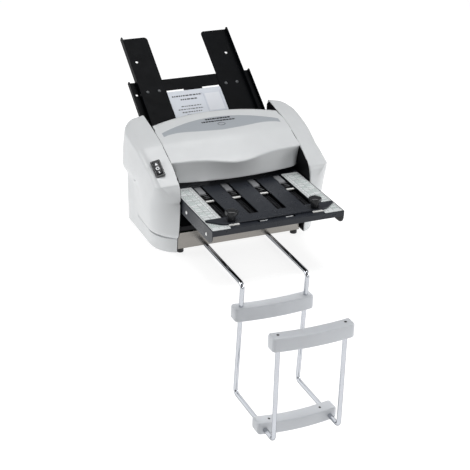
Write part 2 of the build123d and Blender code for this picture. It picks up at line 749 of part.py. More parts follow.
GUIDE_TIP_Y = -122.5
with BuildPart() as slot_guides:
    with BuildSketch(Plane.XY.offset(plate_top)):
        with Locations(*[(x, -87) for x in SLOT_X]):
            Rectangle(SLOT_WIDTH - 3, 66)
    extrude(amount=2.5)
    for rib_y in (-98, -106, -114):
        with BuildSketch(Plane.XY.offset(plate_top)):
            with Locations(*[(x, rib_y) for x in SLOT_X]):
                Rectangle(SLOT_WIDTH - 3, 3.2)
        extrude(amount=5)
save(slot_guides, "slot_guides")

with BuildPart() as guide_tips:
    with BuildSketch(Plane.XY.offset(plate_top)):
        with Locations(*[(x, GUIDE_TIP_Y) for x in SLOT_X]):
            Rectangle(SLOT_WIDTH - 2, 4)
    extrude(amount=6.5)
save(guide_tips, "guide_tips")

BAR_BASE = TABLE_TOP + 0.4
BAR_T = 3.0
FINGER_Y = -208.0
with BuildPart() as fold_stop_bar:
    with BuildSketch(Plane.XY.offset(BAR_BASE)):
        with BuildLine():
            Polyline((-120, -205), (120, -205), (120, -209), (101, -226), (88, -231),
                     (-88, -231), (-101, -226), (-120, -209), (-120, -205))
        make_face()
        with Locations((-KNOB_X, KNOB_Y), (KNOB_X, KNOB_Y)):
            Circle(3.05, mode=Mode.SUBTRACT)
    extrude(amount=BAR_T)
    with BuildSketch(Plane.XY.offset(BAR_BASE)):
        with Locations(*[(x, FINGER_Y) for x in SLOT_X]):
            Rectangle(12, 2)
    extrude(amount=-(0.4 + SHEET + CHANNEL - 0.6))
save(fold_stop_bar, "fold_stop_bar")


def thumb_knob(name, centre):
    """Write a lobed clamping knob with its stud and under-table clamp disc."""
    base = BAR_BASE + BAR_T + 0.2
    with BuildPart() as knob:
        with BuildSketch(Plane.XY.offset(base)):
            with Locations(centre):
                Circle(7.0)
        extrude(amount=KNOB_RISE)
        with BuildSketch(Plane.XY.offset(base + KNOB_RISE)):
            with Locations(centre):
                Circle(9.8)
                with PolarLocations(8.9, 5):
                    Circle(3.0)
        extrude(amount=KNOB_CAP)
        fillet(knob.faces().sort_by(Axis.Z)[-1].edges(), 1.2)
        with BuildSketch(Plane.XY.offset(base)):
            with Locations(centre):
                Circle(3.0)
        extrude(amount=-(base - TABLE_TOP + SHEET + 2.0))
    save(knob, name)


thumb_knob("left_stop_knob", (-KNOB_X, KNOB_Y))
thumb_knob("right_stop_knob", (KNOB_X, KNOB_Y))


# ---------------------------------------------------------------- rear fold table
slope = radians(REAR_SLOPE)
rear_plane = Plane(origin=(0, *REAR_MOUTH), x_dir=(1, 0, 0), z_dir=(0, sin(slope), cos(slope)))
REAR_CHANNEL = 5.0
REAR_SLOT_X = 60.0
REAR_STOP = 130.0           # distance of the rear stop from the mouth, along the table

with BuildPart() as rear_table_upper:
    with BuildSketch(rear_plane):
        with Locations((0, REAR_LENGTH / 2)):
            Rectangle(2 * REAR_HALF_X - 4, REAR_LENGTH)
        with Locations((-REAR_SLOT_X, 135), (REAR_SLOT_X, 135), (0, 135)):
            SlotOverall(76, 8, rotation=90, mode=Mode.SUBTRACT)
    extrude(amount=-SHEET)
save(rear_table_upper, "rear_table_upper")

with BuildPart() as rear_table_lower:
    with BuildSketch(rear_plane.offset(-SHEET - REAR_CHANNEL)):
        with Locations((0, REAR_LENGTH / 2 + 1)):
            Rectangle(2 * REAR_HALF_X, REAR_LENGTH - 2)
    extrude(amount=-SHEET)
    for side in (-1, 1):
        with BuildSketch(rear_plane.offset(-SHEET - REAR_CHANNEL)):
            with Locations((side * (REAR_HALF_X - 0.9), REAR_LENGTH / 2 + 1)):
                Rectangle(1.8, REAR_LENGTH - 2)
        extrude(amount=REAR_CHANNEL + SHEET)
save(rear_table_lower, "rear_table_lower")

with BuildPart() as rear_stop_bar:
    with BuildSketch(rear_plane.offset(0.3)):
        with Locations((0, REAR_STOP)):
            RectangleRounded(170, 16, 3)
            Circle(2.55, mode=Mode.SUBTRACT)
    extrude(amount=2)
    with BuildSketch(rear_plane.offset(0.3)):
        with Locations((-REAR_SLOT_X, REAR_STOP), (REAR_SLOT_X, REAR_STOP)):
            Rectangle(6, 2)
    extrude(amount=-(0.3 + SHEET + REAR_CHANNEL - 0.5))
save(rear_stop_bar, "rear_stop_bar")

with BuildPart() as rear_stop_knob:
    with BuildSketch(rear_plane.offset(2.5)):
        with Locations((0, REAR_STOP)):
            Circle(8)
            with PolarLocations(7.2, 6):
                Circle(2)
    extrude(amount=9)
    with BuildSketch(rear_plane.offset(2.5)):
        with Locations((0, REAR_STOP)):
            Circle(2.5)
    extrude(amount=-5)
save(rear_stop_knob, "rear_stop_knob")


# ---------------------------------------------------------------- wire catch basket
WIRE_BEND = 9.0
WIRE_END_Y = 20.0
with BuildPart() as stacker_wires:
    for side in (-1, 1):
        with BuildLine(at_x(side * WIRE_X)) as route:
            FilletPolyline((WIRE_END_Y, WIRE_Z), (BEND_Y, WIRE_Z), BASKET_BACK,
                           (BASKET_FRONT_Y, BASKET_BACK[1]), WIRE_TOP, radius=WIRE_BEND)
        with BuildSketch(Plane(origin=(side * WIRE_X, WIRE_END_Y, WIRE_Z),
                               x_dir=(1, 0, 0), z_dir=(0, -1, 0))):
            Circle(WIRE_R)
        sweep(path=route.wire())
save(stacker_wires, "stacker_wires")


def crossbar(name, plane, hole_plane, hole_x):
    """Write a crossbar; in its plane, x runs along it and it bows towards plane +y."""
    half = BAR_LENGTH / 2
    across = BAR_ACROSS / 2
    with BuildPart() as bar:
        with BuildSketch(plane.offset(-BAR_ALONG / 2)):
            with BuildLine():
                Polyline((-half + 7, -across - BAR_BOW / 2), (-half, -across + 4),
                         (-half, across - 10), (-half + 7, across - BAR_BOW / 2))
                ThreePointArc((-half + 7, across - BAR_BOW / 2), (0, across + BAR_BOW / 2),
                              (half - 7, across - BAR_BOW / 2))
                Polyline((half - 7, across - BAR_BOW / 2), (half, across - 10),
                         (half, -across + 4), (half - 7, -across - BAR_BOW / 2))
                ThreePointArc((half - 7, -across - BAR_BOW / 2), (0, -across + BAR_BOW / 2),
                              (-half + 7, -across - BAR_BOW / 2))
            make_face()
        extrude(amount=BAR_ALONG)
        fillet(bar.edges(), 1.5)
        add(stacker_wires.part, mode=Mode.SUBTRACT)
        with BuildSketch(hole_plane):
            with Locations((-hole_x, 0), (hole_x, 0)):
                Circle(2.4)
        extrude(amount=9, mode=Mode.SUBTRACT)
    save(bar, name)


back_lean = (BASKET_BACK[0] - BEND_Y) / (WIRE_Z - BASKET_BACK[1])
BACK_BAR_Z = -61.8
back_bar_y = BEND_Y + back_lean * (WIRE_Z - BACK_BAR_Z)
FRONT_BAR_TOP = WIRE_TOP[1] + 2
BOTTOM_BAR_Y = -335.9
HOLE_START = BAR_ACROSS / 2 + BAR_BOW / 2 + 1
crossbar("back_crossbar", Plane(origin=(0, back_bar_y, BACK_BAR_Z), x_dir=(1, 0, 0), z_dir=(0, 0, -1)),
         Plane(origin=(0, back_bar_y + HOLE_START, BACK_BAR_Z), x_dir=(1, 0, 0), z_dir=(0, -1, 0)), 49.5)
crossbar("front_crossbar", Plane(origin=(0, WIRE_TOP[0], FRONT_BAR_TOP - BAR_ALONG / 2),
                                 x_dir=(1, 0, 0), z_dir=(0, 0, -1)),
         Plane(origin=(0, WIRE_TOP[0], FRONT_BAR_TOP + 4), x_dir=(1, 0, 0), z_dir=(0, 0, -1)), WIRE_X)
crossbar("bottom_crossbar", Plane(origin=(0, BOTTOM_BAR_Y, BASKET_BACK[1]), x_dir=(1, 0, 0),
                                  z_dir=(0, 1, 0)),
         Plane(origin=(0, BOTTOM_BAR_Y, BASKET_BACK[1] + HOLE_START), x_dir=(1, 0, 0), z_dir=(0, 0, -1)),
         49.5)

with BuildPart() as wire_clips:
    for clip_y in (-46.0, 2.0):
        with BuildSketch(Plane.XZ.offset(-clip_y)):
            with Locations((-WIRE_X, -FOOT_HEIGHT / 2), (WIRE_X, -FOOT_HEIGHT / 2)):
                Rectangle(14, FOOT_HEIGHT)
            with Locations((-WIRE_X, -FOOT_HEIGHT + 0.2), (WIRE_X, -FOOT_HEIGHT + 0.2)):
                Rectangle(14, 0.4, mode=Mode.SUBTRACT)
            with Locations((-WIRE_X, WIRE_Z), (WIRE_X, WIRE_Z)):
                Circle(WIRE_R + RUN, mode=Mode.SUBTRACT)
            with Locations((-WIRE_X, -FOOT_HEIGHT + 1), (WIRE_X, -FOOT_HEIGHT + 1)):
                Rectangle(4.6, 2, mode=Mode.SUBTRACT)
        extrude(amount=14)
save(wire_clips, "wire_clips")
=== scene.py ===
"""Looks of the desktop letter folding machine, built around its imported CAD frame."""
import bmesh
import bpy
import json
import math
import random
from mathutils import Matrix, Vector


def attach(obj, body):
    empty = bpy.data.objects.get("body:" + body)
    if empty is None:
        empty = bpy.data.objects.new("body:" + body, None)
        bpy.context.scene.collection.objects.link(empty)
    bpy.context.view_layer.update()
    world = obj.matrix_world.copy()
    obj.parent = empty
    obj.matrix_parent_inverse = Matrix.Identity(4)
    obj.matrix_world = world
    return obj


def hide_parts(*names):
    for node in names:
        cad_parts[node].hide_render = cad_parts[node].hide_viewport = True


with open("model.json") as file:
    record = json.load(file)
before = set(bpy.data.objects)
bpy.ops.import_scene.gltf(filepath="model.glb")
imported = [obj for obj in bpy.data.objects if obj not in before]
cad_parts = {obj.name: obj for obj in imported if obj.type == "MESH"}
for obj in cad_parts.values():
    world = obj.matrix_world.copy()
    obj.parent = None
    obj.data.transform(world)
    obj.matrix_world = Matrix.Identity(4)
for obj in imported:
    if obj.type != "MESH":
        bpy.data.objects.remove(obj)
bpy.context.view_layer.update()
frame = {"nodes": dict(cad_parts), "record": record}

MM = 0.001


# -------- small helpers
def smoothstep(low, high, value):
    """0 below low, 1 above high, and smooth between them."""
    t = min(max((value - low) / (high - low), 0.0), 1.0)
    return t * t * (3 - 2 * t)


def mix(a, b, t):
    """The value a share t of the way from a to b."""
    return a + (b - a) * t


def spline_points(points, per_span):
    """A smooth line through points of any dimension, with per_span steps in each span."""
    padded = [points[0], *points, points[-1]]
    line = []
    for index in range(len(points) - 1):
        p0, p1, p2, p3 = padded[index:index + 4]
        for step in range(per_span):
            t = step / per_span
            line.append(tuple(
                0.5 * (2 * b + (c - a) * t + (2 * a - 5 * b + 4 * c - d) * t**2
                       + (3 * b - a - 3 * c + d) * t**3)
                for a, b, c, d in zip(p0, p1, p2, p3)))
    line.append(tuple(points[-1]))
    return line


def look_up(table, value):
    """Straight-line reading of y at value from (x, y) pairs in rising x."""
    if value <= table[0][0]:
        return table[0][1]
    for (x0, y0), (x1, y1) in zip(table, table[1:]):
        if value <= x1:
            return mix(y0, y1, (value - x0) / (x1 - x0))
    return table[-1][1]


def arc(centre, radius, start, end, steps):
    """Points of an arc in a plane; angles in degrees."""
    angles = [math.radians(mix(start, end, i / steps)) for i in range(steps + 1)]
    return [(centre[0] + radius * math.cos(a), centre[1] + radius * math.sin(a)) for a in angles]


def round_angles(steps):
    """Angles of equal steps round a full turn."""
    return [2 * math.pi * step / steps for step in range(steps)]


# -------- materials
def noise(tree, scale, detail=3.0, stretch=(1, 1, 1)):
    """A noise texture fixed to the row frame, optionally stretched along an axis."""
    place = tree.nodes.new("ShaderNodeTexCoord")
    mapping = tree.nodes.new("ShaderNodeMapping")
    mapping.inputs["Scale"].default_value = stretch
    texture = tree.nodes.new("ShaderNodeTexNoise")
    texture.inputs["Scale"].default_value = scale
    texture.inputs["Detail"].default_value = detail
    tree.links.new(place.outputs["Object"], mapping.inputs["Vector"])
    tree.links.new(mapping.outputs["Vector"], texture.inputs["Vector"])
    return texture.outputs["Fac"]


def spread(tree, factor, low, high):
    """Reads a noise output as a value between low and high."""
    node = tree.nodes.new("ShaderNodeMapRange")
    node.inputs["From Min"].default_value = 0.3
    node.inputs["From Max"].default_value = 0.7
    node.inputs["To Min"].default_value = low
    node.inputs["To Max"].default_value = high
    tree.links.new(factor, node.inputs["Value"])
    return node.outputs["Result"]


def tint(tree, factor, dark, light):
    """Reads a noise output as a colour between dark and light."""
    node = tree.nodes.new("ShaderNodeMix")
    node.data_type = "RGBA"
    node.inputs["A"].default_value = (*dark, 1)
    node.inputs["B"].default_value = (*light, 1)
    tree.links.new(spread(tree, factor, 0, 1), node.inputs["Factor"])
    return node.outputs["Result"]


def surface(name, colour, rough, vary=0.04, rough_vary=0.05, grain=0.6, depth=0.02,
            metallic=0.0, coat=0.0, edge=0.0, stretch=(1, 1, 1), specular=0.5, rim=1.0):
    """A finished surface: uneven colour, uneven gloss, fine grain and softened edges.

    grain is the size of the surface texture and depth its height, both in millimetres; edge is
    the radius that the light sees on sharp CAD edges; rim tints grazing reflections.
    """
    material = bpy.data.materials.new(name)
    material.use_nodes = True
    tree = material.node_tree
    shader = tree.nodes["Principled BSDF"]
    dark = tuple(c * (1 - vary) for c in colour)
    light = tuple(min(c * (1 + vary), 1) for c in colour)
    cloud = noise(tree, 28, 4, stretch)
    tree.links.new(tint(tree, cloud, dark, light), shader.inputs["Base Color"])
    blotch = noise(tree, 75, 5, stretch)
    tree.links.new(spread(tree, blotch, rough - rough_vary, rough + rough_vary),
                   shader.inputs["Roughness"])
    shader.inputs["Metallic"].default_value = metallic
    shader.inputs["Coat Weight"].default_value = coat
    shader.inputs["Coat Roughness"].default_value = 0.15
    shader.inputs["Specular IOR Level"].default_value = specular
    shader.inputs["Specular Tint"].default_value = (rim, rim, rim, 1)
    bump = tree.nodes.new("ShaderNodeBump")
    bump.inputs["Distance"].default_value = depth * MM
    tree.links.new(noise(tree, 1 / (grain * MM), 2, stretch), bump.inputs["Height"])
    if edge:
        rounding = tree.nodes.new("ShaderNodeBevel")
        rounding.samples = 4
        rounding.inputs["Radius"].default_value = edge * MM
        tree.links.new(rounding.outputs["Normal"], bump.inputs["Normal"])
    tree.links.new(bump.outputs["Normal"], shader.inputs["Normal"])
    return material


HOUSING = surface("housing_plastic", (0.60, 0.615, 0.625), 0.38, vary=0.02, grain=0.7, depth=0.03,
                  coat=0.30)
LENS = surface("hood_panel_plastic", (0.35, 0.375, 0.405), 0.34, vary=0.012, grain=0.5, depth=0.01,
               coat=0.3)
BAR_PLASTIC = surface("crossbar_plastic", (0.55, 0.57, 0.60), 0.36, vary=0.025, grain=0.8, depth=0.03,
                      coat=0.1)
POWDER = surface("powder_coat_black", (0.0024, 0.0029, 0.0038), 0.42, vary=0.25, grain=1.1, depth=0.06,
                 edge=0.4, specular=0.045)
FRAME_BLACK = surface("frame_black", (0.004, 0.004, 0.005), 0.5, vary=0.25, grain=1.0, depth=0.04,
                      edge=0.4, specular=0.08)
TABLE = surface("table_paint", (0.019, 0.022, 0.029), 0.30, vary=0.1, grain=0.9, depth=0.03, edge=0.5,
                specular=0.34)
GUIDE_DARK = surface("guide_black", (0.006, 0.006, 0.007), 0.4, vary=0.2, specular=0.3)
SPRING_DARK = surface("spring_steel_black", (0.05, 0.052, 0.058), 0.3, vary=0.1, grain=0.5, depth=0.01,
                      metallic=0.6)
CARD_LIGHT = surface("card_white", (0.60, 0.62, 0.66), 0.5, vary=0.02, grain=0.7, depth=0.01)
# Near-black paint for parts that lie deep under the fold table: painted shade, darker than their own
# finish.
TABLE_INSIDE_SHADE = surface("table_inside_painted_shade", (0.004, 0.004, 0.005), 0.5, vary=0.2, grain=0.9, depth=0.03,
                       specular=0.2)
RIVET = surface("rivet_grey", (0.06, 0.065, 0.07), 0.35, vary=0.1)
PAN = surface("pan_steel", (0.31, 0.295, 0.275), 0.22, vary=0.05, grain=0.4, depth=0.01, metallic=1.0,
              edge=0.6, stretch=(0.06, 1, 1))
STEEL = surface("bright_steel", (0.62, 0.62, 0.61), 0.30, vary=0.03, grain=0.8, depth=0.002,
                metallic=1.0, edge=0.3)
CHROME = surface("wire_chrome", (0.60, 0.62, 0.66), 0.09, vary=0.03, rough_vary=0.02, grain=4.0,
                 depth=0.01, metallic=1.0, rim=0.12)
ROLLER_RUBBER = surface("roller_rubber", (0.045, 0.045, 0.048), 0.75, vary=0.15, grain=0.5, depth=0.05,
                        stretch=(0.2, 1, 1))
PAD_RUBBER = surface("pad_rubber", (0.16, 0.07, 0.035), 0.8, vary=0.12, depth=0.05)
FOOT_RUBBER = surface("foot_rubber", (0.012, 0.012, 0.013), 0.62, vary=0.2, grain=0.8, depth=0.05)
NYLON = surface("gear_nylon", (0.68, 0.66, 0.58), 0.45, vary=0.03, grain=0.8, depth=0.02, edge=0.2)
KNOB = surface("knob_black", (0.010, 0.011, 0.013), 0.34, vary=0.2, depth=0.03)
SWITCH_BLACK = surface("switch_black", (0.006, 0.007, 0.010), 0.34, vary=0.2, edge=0.3)
CLIP_BLACK = surface("clip_black", (0.012, 0.012, 0.013), 0.5, vary=0.2, grain=0.8, depth=0.03,
                     edge=0.3)
BOARD = surface("board_green", (0.012, 0.085, 0.030), 0.40, vary=0.15, grain=0.9, depth=0.03, coat=0.4,
                edge=0.3)
ZINC = surface("motor_zinc", (0.42, 0.43, 0.44), 0.38, vary=0.08, metallic=0.9,
               edge=0.4, stretch=(0.2, 1, 1))
CARD = surface("label_card", (0.50, 0.53, 0.585), 0.38, vary=0.015, grain=0.9, depth=0.01, coat=0.25)
FILM = surface("scale_film", (0.72, 0.75, 0.75), 0.34, vary=0.05, grain=0.8, depth=0.01, coat=0.35)
GUIDE_GREY = surface("guide_grey", (0.20, 0.205, 0.215), 0.5, vary=0.12, grain=0.8, depth=0.04,
                     edge=0.3)
TIP_WHITE = surface("tip_white", (0.84, 0.84, 0.82), 0.4, vary=0.02, grain=0.8, depth=0.02, edge=0.3)
PRINT_DARK = surface("print_dark", (0.022, 0.025, 0.032), 0.45, vary=0.1)
PRINT_GREEN = surface("print_green", (0.20, 0.30, 0.27), 0.45, vary=0.12)
PRINT_WHITE = surface("print_white", (0.82, 0.84, 0.86), 0.4, vary=0.02)
PRINT_GREY = surface("print_grey", (0.40, 0.43, 0.50), 0.45, vary=0.05)
# Black used both for the lens print and for discs that stand for the crossbars' holes, where it is
# painted shade.
HOLE_SHADE_AND_PRINT_BLACK = surface("hole_shade_and_print_black", (0.004, 0.004, 0.005), 0.8, vary=0.2)

SLOT_MATERIALS = {
    "pan_steel": PAN, "foot_rubber": FOOT_RUBBER, "frame_black": FRAME_BLACK,
    "bright_steel": STEEL, "housing": HOUSING, "hood_lens": LENS, "switch_black": SWITCH_BLACK,
    "hopper_black": POWDER, "label_white": CARD, "board_green": BOARD, "motor_steel": ZINC,
    "roller_rubber": ROLLER_RUBBER, "pad_rubber": PAD_RUBBER, "gear_nylon": NYLON,
    "table_grey": TABLE, "scale_white": FILM, "guide_grey": GUIDE_GREY, "tip_white": TIP_WHITE,
    "knob_black": KNOB, "wire_chrome": CHROME, "crossbar_grey": BAR_PLASTIC,
    "clip_black": CLIP_BLACK,
}
for part in frame["record"]["subparts"]:
    # The fold table's lower plate and the exit chute get the near-black paint instead of their own
    # finish: painted shade of the hollows under the table.
    shaded_inside = part["node"] in ("fold_table_bottom", "exit_chute")
    material = TABLE_INSIDE_SHADE if shaded_inside else SLOT_MATERIALS[part["material_slot"]]
    slots = frame["nodes"][part["node"]].data.materials
    for index in range(len(slots)):
        slots[index] = material


# -------- mesh building
def linked(name, data):
    """A new object that shows data in the scene."""
    obj = bpy.data.objects.new(name, data)
    bpy.context.scene.collection.objects.link(obj)
    return obj


def piece(name, body, material, parts, replaces=(), sharp=35.0, merge=0.0):
    """A new mesh piece from parts in millimetres, riding on a CAD body."""
    mesh = bpy.data.meshes.new(name)
    mesh.from_pydata([Vector(p) * MM for p in parts.points], [], parts.faces)
    solid = bmesh.new()
    solid.from_mesh(mesh)
    if merge:
        bmesh.ops.remove_doubles(solid, verts=solid.verts, dist=merge * MM)
    bmesh.ops.recalc_face_normals(solid, faces=solid.faces)
    solid.to_mesh(mesh)
    solid.free()
    for polygon in mesh.polygons:
        polygon.use_smooth = True
    mesh.set_sharp_from_angle(angle=math.radians(sharp))
    mesh.materials.append(material)
    obj = linked(name, mesh)
    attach(obj, body)
    if replaces:
        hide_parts(*replaces)
    return obj


def grid_faces(rows, columns, closed=False):
    """Quads of a grid of points listed row by row; closed joins each row's ends."""
    faces = []
    for r in range(rows - 1):
        here = r * columns
        above = here + columns
        for c in range(columns if closed else columns - 1):
            c2 = (c + 1) % columns
            faces.append((here + c, here + c2, above + c2, above + c))
    return faces


class Parts:
    """Collects several closed forms into one list of points and faces."""

    def __init__(self, points=(), faces=()):
        self.points = list(points)
        self.faces = list(faces)

    def add(self, points, faces):
        start = len(self.points)
        self.points.extend(points)
        self.faces.extend([tuple(i + start for i in face) for face in faces])

    def rings(self, rings, cap=True):
        """Joins equal closed rings of points into a skin, with its two ends capped."""
        count = len(rings[0])
        points = [p for ring in rings for p in ring]
        faces = grid_faces(len(rings), count, closed=True)
        if cap:
            faces.append(tuple(range(count)))
            faces.append(tuple(range(len(points) - count, len(points))))
        self.add(points, faces)

    def slab(self, outline, place, thickness, edge=0.0):
        """A flat plate; place(u, v, w) puts its points, w runs from 0 to thickness."""
        levels = [(0, 0), (0, thickness)]
        if edge:
            levels = [(edge, 0), (0, edge), (0, thickness - edge), (edge, thickness)]
        middle_u = sum(p[0] for p in outline) / len(outline)
        middle_v = sum(p[1] for p in outline) / len(outline)
        rings = []
        for inset, w in levels:
            ring = []
            for u, v in outline:
                away = math.hypot(u - middle_u, v - middle_v) or 1
                share = 1 - inset / away
                ring.append(place(mix(middle_u, u, share), mix(middle_v, v, share), w))
            rings.append(ring)
        self.rings(rings)

    def lathe(self, profile, place, steps, lobes=None):
        """A turned form; profile is (radius, height) pairs and place(x, y, h) puts its points."""
        rings = []
        for radius, height in profile:
            ring = []
            for angle in round_angles(steps):
                r = radius * (lobes(angle, height) if lobes else 1)
                ring.append(place(r * math.cos(angle), r * math.sin(angle), height))
            rings.append(ring)
        self.rings(rings)


def rounded_rectangle(width, height, radius, steps=4, centre=(0, 0)):
    """Outline of a rectangle with round corners, anticlockwise."""
    x = width / 2 - radius
    y = height / 2 - radius
    line = []
    for sign_x, sign_y, start in ((1, 1, 0), (-1, 1, 90), (-1, -1, 180), (1, -1, 270)):
        corner = (centre[0] + sign_x * x, centre[1] + sign_y * y)
        line += arc(corner, radius, start, start + 90, steps)
    return line


# -------- side covers
SEAM_X = 126.2  # inner face of the covers
COVER_X = 171.0  # their widest point
PIVOT = (20.0, 116.0)  # (y, z) towards which the sections of the upper cover run
BAND_Z = 27.4  # the groove round the covers' foot

# Side view of the seam edge from the front foot to the rear foot, with the cross-section there:
# (y, z, slope of the flat part, width of the rounding, depth of the rounding).
FOOT_KEYS = [(-91, 0, 0.50, 29, 54), (-92, 13, 0.50, 29, 52), (-93, BAND_Z, 0.48, 29, 50)]
CHAMFER_KEYS = [(-94.3, 28.6, 0.46, 30, 50), (-97.4, 32.5, 0.44, 31, 49),
                (-99.7, 37, 0.42, 32, 48)]
FRONT_KEYS = [(-99.7, 37, 0.42, 32, 48), (-102, 52, 0.39, 33, 46), (-104, 70, 0.36, 33, 43),
              (-105.3, 88, 0.32, 31, 40), (-106.4, 104, 0.27, 28, 35), (-107, 116, 0.20, 24, 29),
              (-104.5, 127.5, 0.11, 17, 21), (-101.3, 132.6, 0.07, 12, 15), (-98, 136.5, 0.07, 10, 13),
              (-85, 145.5, 0.15, 10, 14.5), (-68, 156.5, 0.21, 12, 18),
              (-53, 163, 0.21, 13, 18.5), (-28, 173, 0.18, 15, 18), (-9, 180.5, 0.17, 15, 18),
              (18, 187.5, 0.17, 15, 18), (45, 193, 0.17, 15, 18), (64, 196.7, 0.17, 15, 18),
              (79, 199.3, 0.17, 14, 17.5)]
CORNER_KEYS = [(79, 199.3, 0.17, 14, 17.5), (84.5, 198.9, 0.12, 12, 15),
               (87.6, 195.5, 0.06, 10, 11.5), (88.3, 190, 0.0, 9.5, 9.5)]
REAR_KEYS = [(88.3, z, 0.0, 9.5, 9.5) for z in (190, 116, 60, 0)]


def side_surface(y, z):
    """Distance of the covers' flat side from the centre plane."""
    front = look_up([(0, 158.5), (BAND_Z, 160), (28.6, 160.6), (37, 164.5), (62, 168), (90, 169.5)], z)
    rear = look_up([(0, 157.5), (BAND_Z, 158), (28.6, 158.3), (37, 159), (91, 160)], z)
    low = mix(front, rear, smoothstep(-55, 55, y))
    bulge = mix(COVER_X - 4.0, COVER_X, smoothstep(-70, 40, y))
    back = smoothstep(-55, 55, y)
    return mix(low, bulge, smoothstep(mix(72, 91, back), mix(155, 115, back), z))


CORNER_REAR = 88.3  # y of the covers' rear face
CORNER_ROUNDING = [(0, 14), (85, 16), (110, 20), (150, 25), (180, 36), (196, 40)]


def rear_narrowing(y, z):
    """Share of the covers' width that is left by the round rear corner."""
    radius = look_up(CORNER_ROUNDING, z)
    behind = min(max(y - (CORNER_REAR - radius), 0.0), radius)
    cut = radius - math.sqrt(radius**2 - behind**2)
    return max(1 - cut / (COVER_X - SEAM_X), 0.08)


BEND_PULL = 0.55  # how strongly the shoulder's curve holds on to its ends
GROOVE_DEPTH = 0.6
GROOVE_FADE = 6.0  # height over which the step above the foot band dies away
CREASE_Z = 102.0  # a soft ridge across the covers' front
CREASE_DEPTH = 1.8


def groove(z):
    """How far the wall above the foot band stands back from it."""
    return GROOVE_DEPTH * math.exp(-(z - BAND_Z) / GROOVE_FADE) if z > BAND_Z + 0.15 else 0.0


def cover_profile():
    """The seam edge and its section values, from the front foot over the top to the rear foot."""
    line = spline_points(FOOT_KEYS, 3)
    foot = FOOT_KEYS[-1]
    for z in (BAND_Z + 0.1, BAND_Z + 0.3, BAND_Z + 0.8):
        line.append((foot[0] - 0.6 * (z - BAND_Z), z, *foot[2:]))
    line += spline_points(CHAMFER_KEYS, 4)[:-1]
    line += spline_points(FRONT_KEYS, 6)[:-1]
    line += spline_points(CORNER_KEYS, 4)[:-1]
    line += spline_points(REAR_KEYS, 8)
    return line


def cover_section(slope, turn, depth, full):
    """(inset, out) points of a cover's section: its inner lip, flat part and rounded shoulder.

    out is the distance from the seam plane and inset the distance behind the seam edge.
    """
    flat_width = full - turn
    section = [(2.2, -0.7), (0.9, -0.7), (0.8, 0.0), (0.3, 0.1), (0.1, 0.35), (slope, 1.0)]
    section += [(slope * flat_width * share, flat_width * share)
                for share in (0.15, 0.32, 0.5, 0.7, 0.88) if flat_width * share > 1.6]
    while len(section) < 11:
        section.insert(6, section[5])
    start = Vector((slope * flat_width, flat_width))
    end = Vector((depth, full))
    leave = start + Vector((slope, 1)) * BEND_PULL * turn
    arrive = end - Vector((depth - start[0], 0)) * BEND_PULL
    for step in range(15):
        t = step / 14
        place = (start * (1 - t) ** 3 + leave * 3 * t * (1 - t) ** 2
                 + arrive * 3 * t * t * (1 - t) + end * t**3)
        section.append(tuple(place))
    return section


def moulded(y, z, inset, out, flat_width, full):
    """A section point's inset with the ridge across the front and the bead along the shoulder."""
    if y < 0:
        inset += CREASE_DEPTH * math.exp(-((z - CREASE_Z) / 2.6) ** 2) * math.exp(-(out / 16) ** 2)
    bead = smoothstep(-38, -62, y) * smoothstep(108, 124, z)
    raised = 1.1 * math.exp(-((out - flat_width - 1.5) / 3.2) ** 2)
    hollow = 0.9 * math.exp(-((out - full + 0.5) / 3.0) ** 2)
    return inset - bead * (raised - hollow)


def cover_skin(side):
    """One side cover; side is 1 for the right and -1 for the left."""
    profile = cover_profile()
    points = []
    for index, (y, z, slope, turn, depth) in enumerate(profile):
        before = profile[max(index - 1, 0)]
        after = profile[min(index + 1, len(profile) - 1)]
        tangent = Vector((after[0] - before[0], after[1] - before[1])).normalized()
        inward = Vector((tangent[1], -tangent[0]))
        goal = Vector(PIVOT) if z > PIVOT[1] else Vector((PIVOT[0], z))
        ray = goal - Vector((y, z))
        length = ray.length
        ray.normalize()
        lean = max(inward.dot(ray), 0.5)
        cut = groove(z)
        start = Vector((y, z)) + ray * cut
        shoulder = start + ray * depth / lean
        full = side_surface(*shoulder) - SEAM_X - cut
        stops = []
        for inset, out in cover_section(slope, turn, depth, full):
            inset = moulded(y, z, inset, out, full - turn, full)
            stops.append((start + ray * inset / lean, out / full))
        rest = length - cut - depth / lean
        stops += [(shoulder + ray * rest * step / 14, 1.0) for step in range(1, 15)]
        for place, share in stops:
            wide = (side_surface(*place) - SEAM_X - cut) * rear_narrowing(*place)
            points.append((side * (SEAM_X + share * wide), place[0], place[1]))
    columns = len(points) // len(profile)
    faces = grid_faces(len(profile), columns)
    inner = len(points)
    points.append((side * SEAM_X, PIVOT[0], PIVOT[1]))
    for r in range(len(profile) - 1):
        faces.append((r * columns, (r + 1) * columns, inner))
    last = (len(profile) - 1) * columns
    bottom = list(range(columns)) + [last + c for c in reversed(range(columns))]
    faces.append(tuple(bottom) + (inner,))
    return Parts(points, faces)


for side, name in ((1, "right_side_cover"), (-1, "left_side_cover")):
    piece(name + "_shell", "machine", HOUSING, cover_skin(side), replaces=(name,),
          sharp=40, merge=0.02)


# -------- hood
HOOD_X = 125.3
HINGE_X = 123.0  # the hood's narrower half width at its hinges
HOOD_LIP = 119.4
LIP_R = 1.2
HOOD_WALL = 2.2
LENS_X = 115.0
LENS_LAP = 0.4  # how far the recess runs past the panel's outline
RECESS = 0.9
LENS_DROP = 0.25  # the panel lies this far below the hood's surface
LENS_T = 0.6
CREST_KEYS = [(-107, 116), (-104.5, 127.5), (-98, 136.5), (-85, 145.5), (-68, 156.5), (-53, 163),
              (-28, 173), (-9, 180.5), (18, 187.5), (45, 193), (64, 196.7), (80, 199.4)]
# The first span overhangs, so it only steers the curve's start.
CREST = spline_points(CREST_KEYS, 8)[8:]
LENS_LOWER = spline_points([(0, 2), (40, 5.2), (80, 9.5), (104, 7.5), (115, 3.5), (126, -1)], 6)


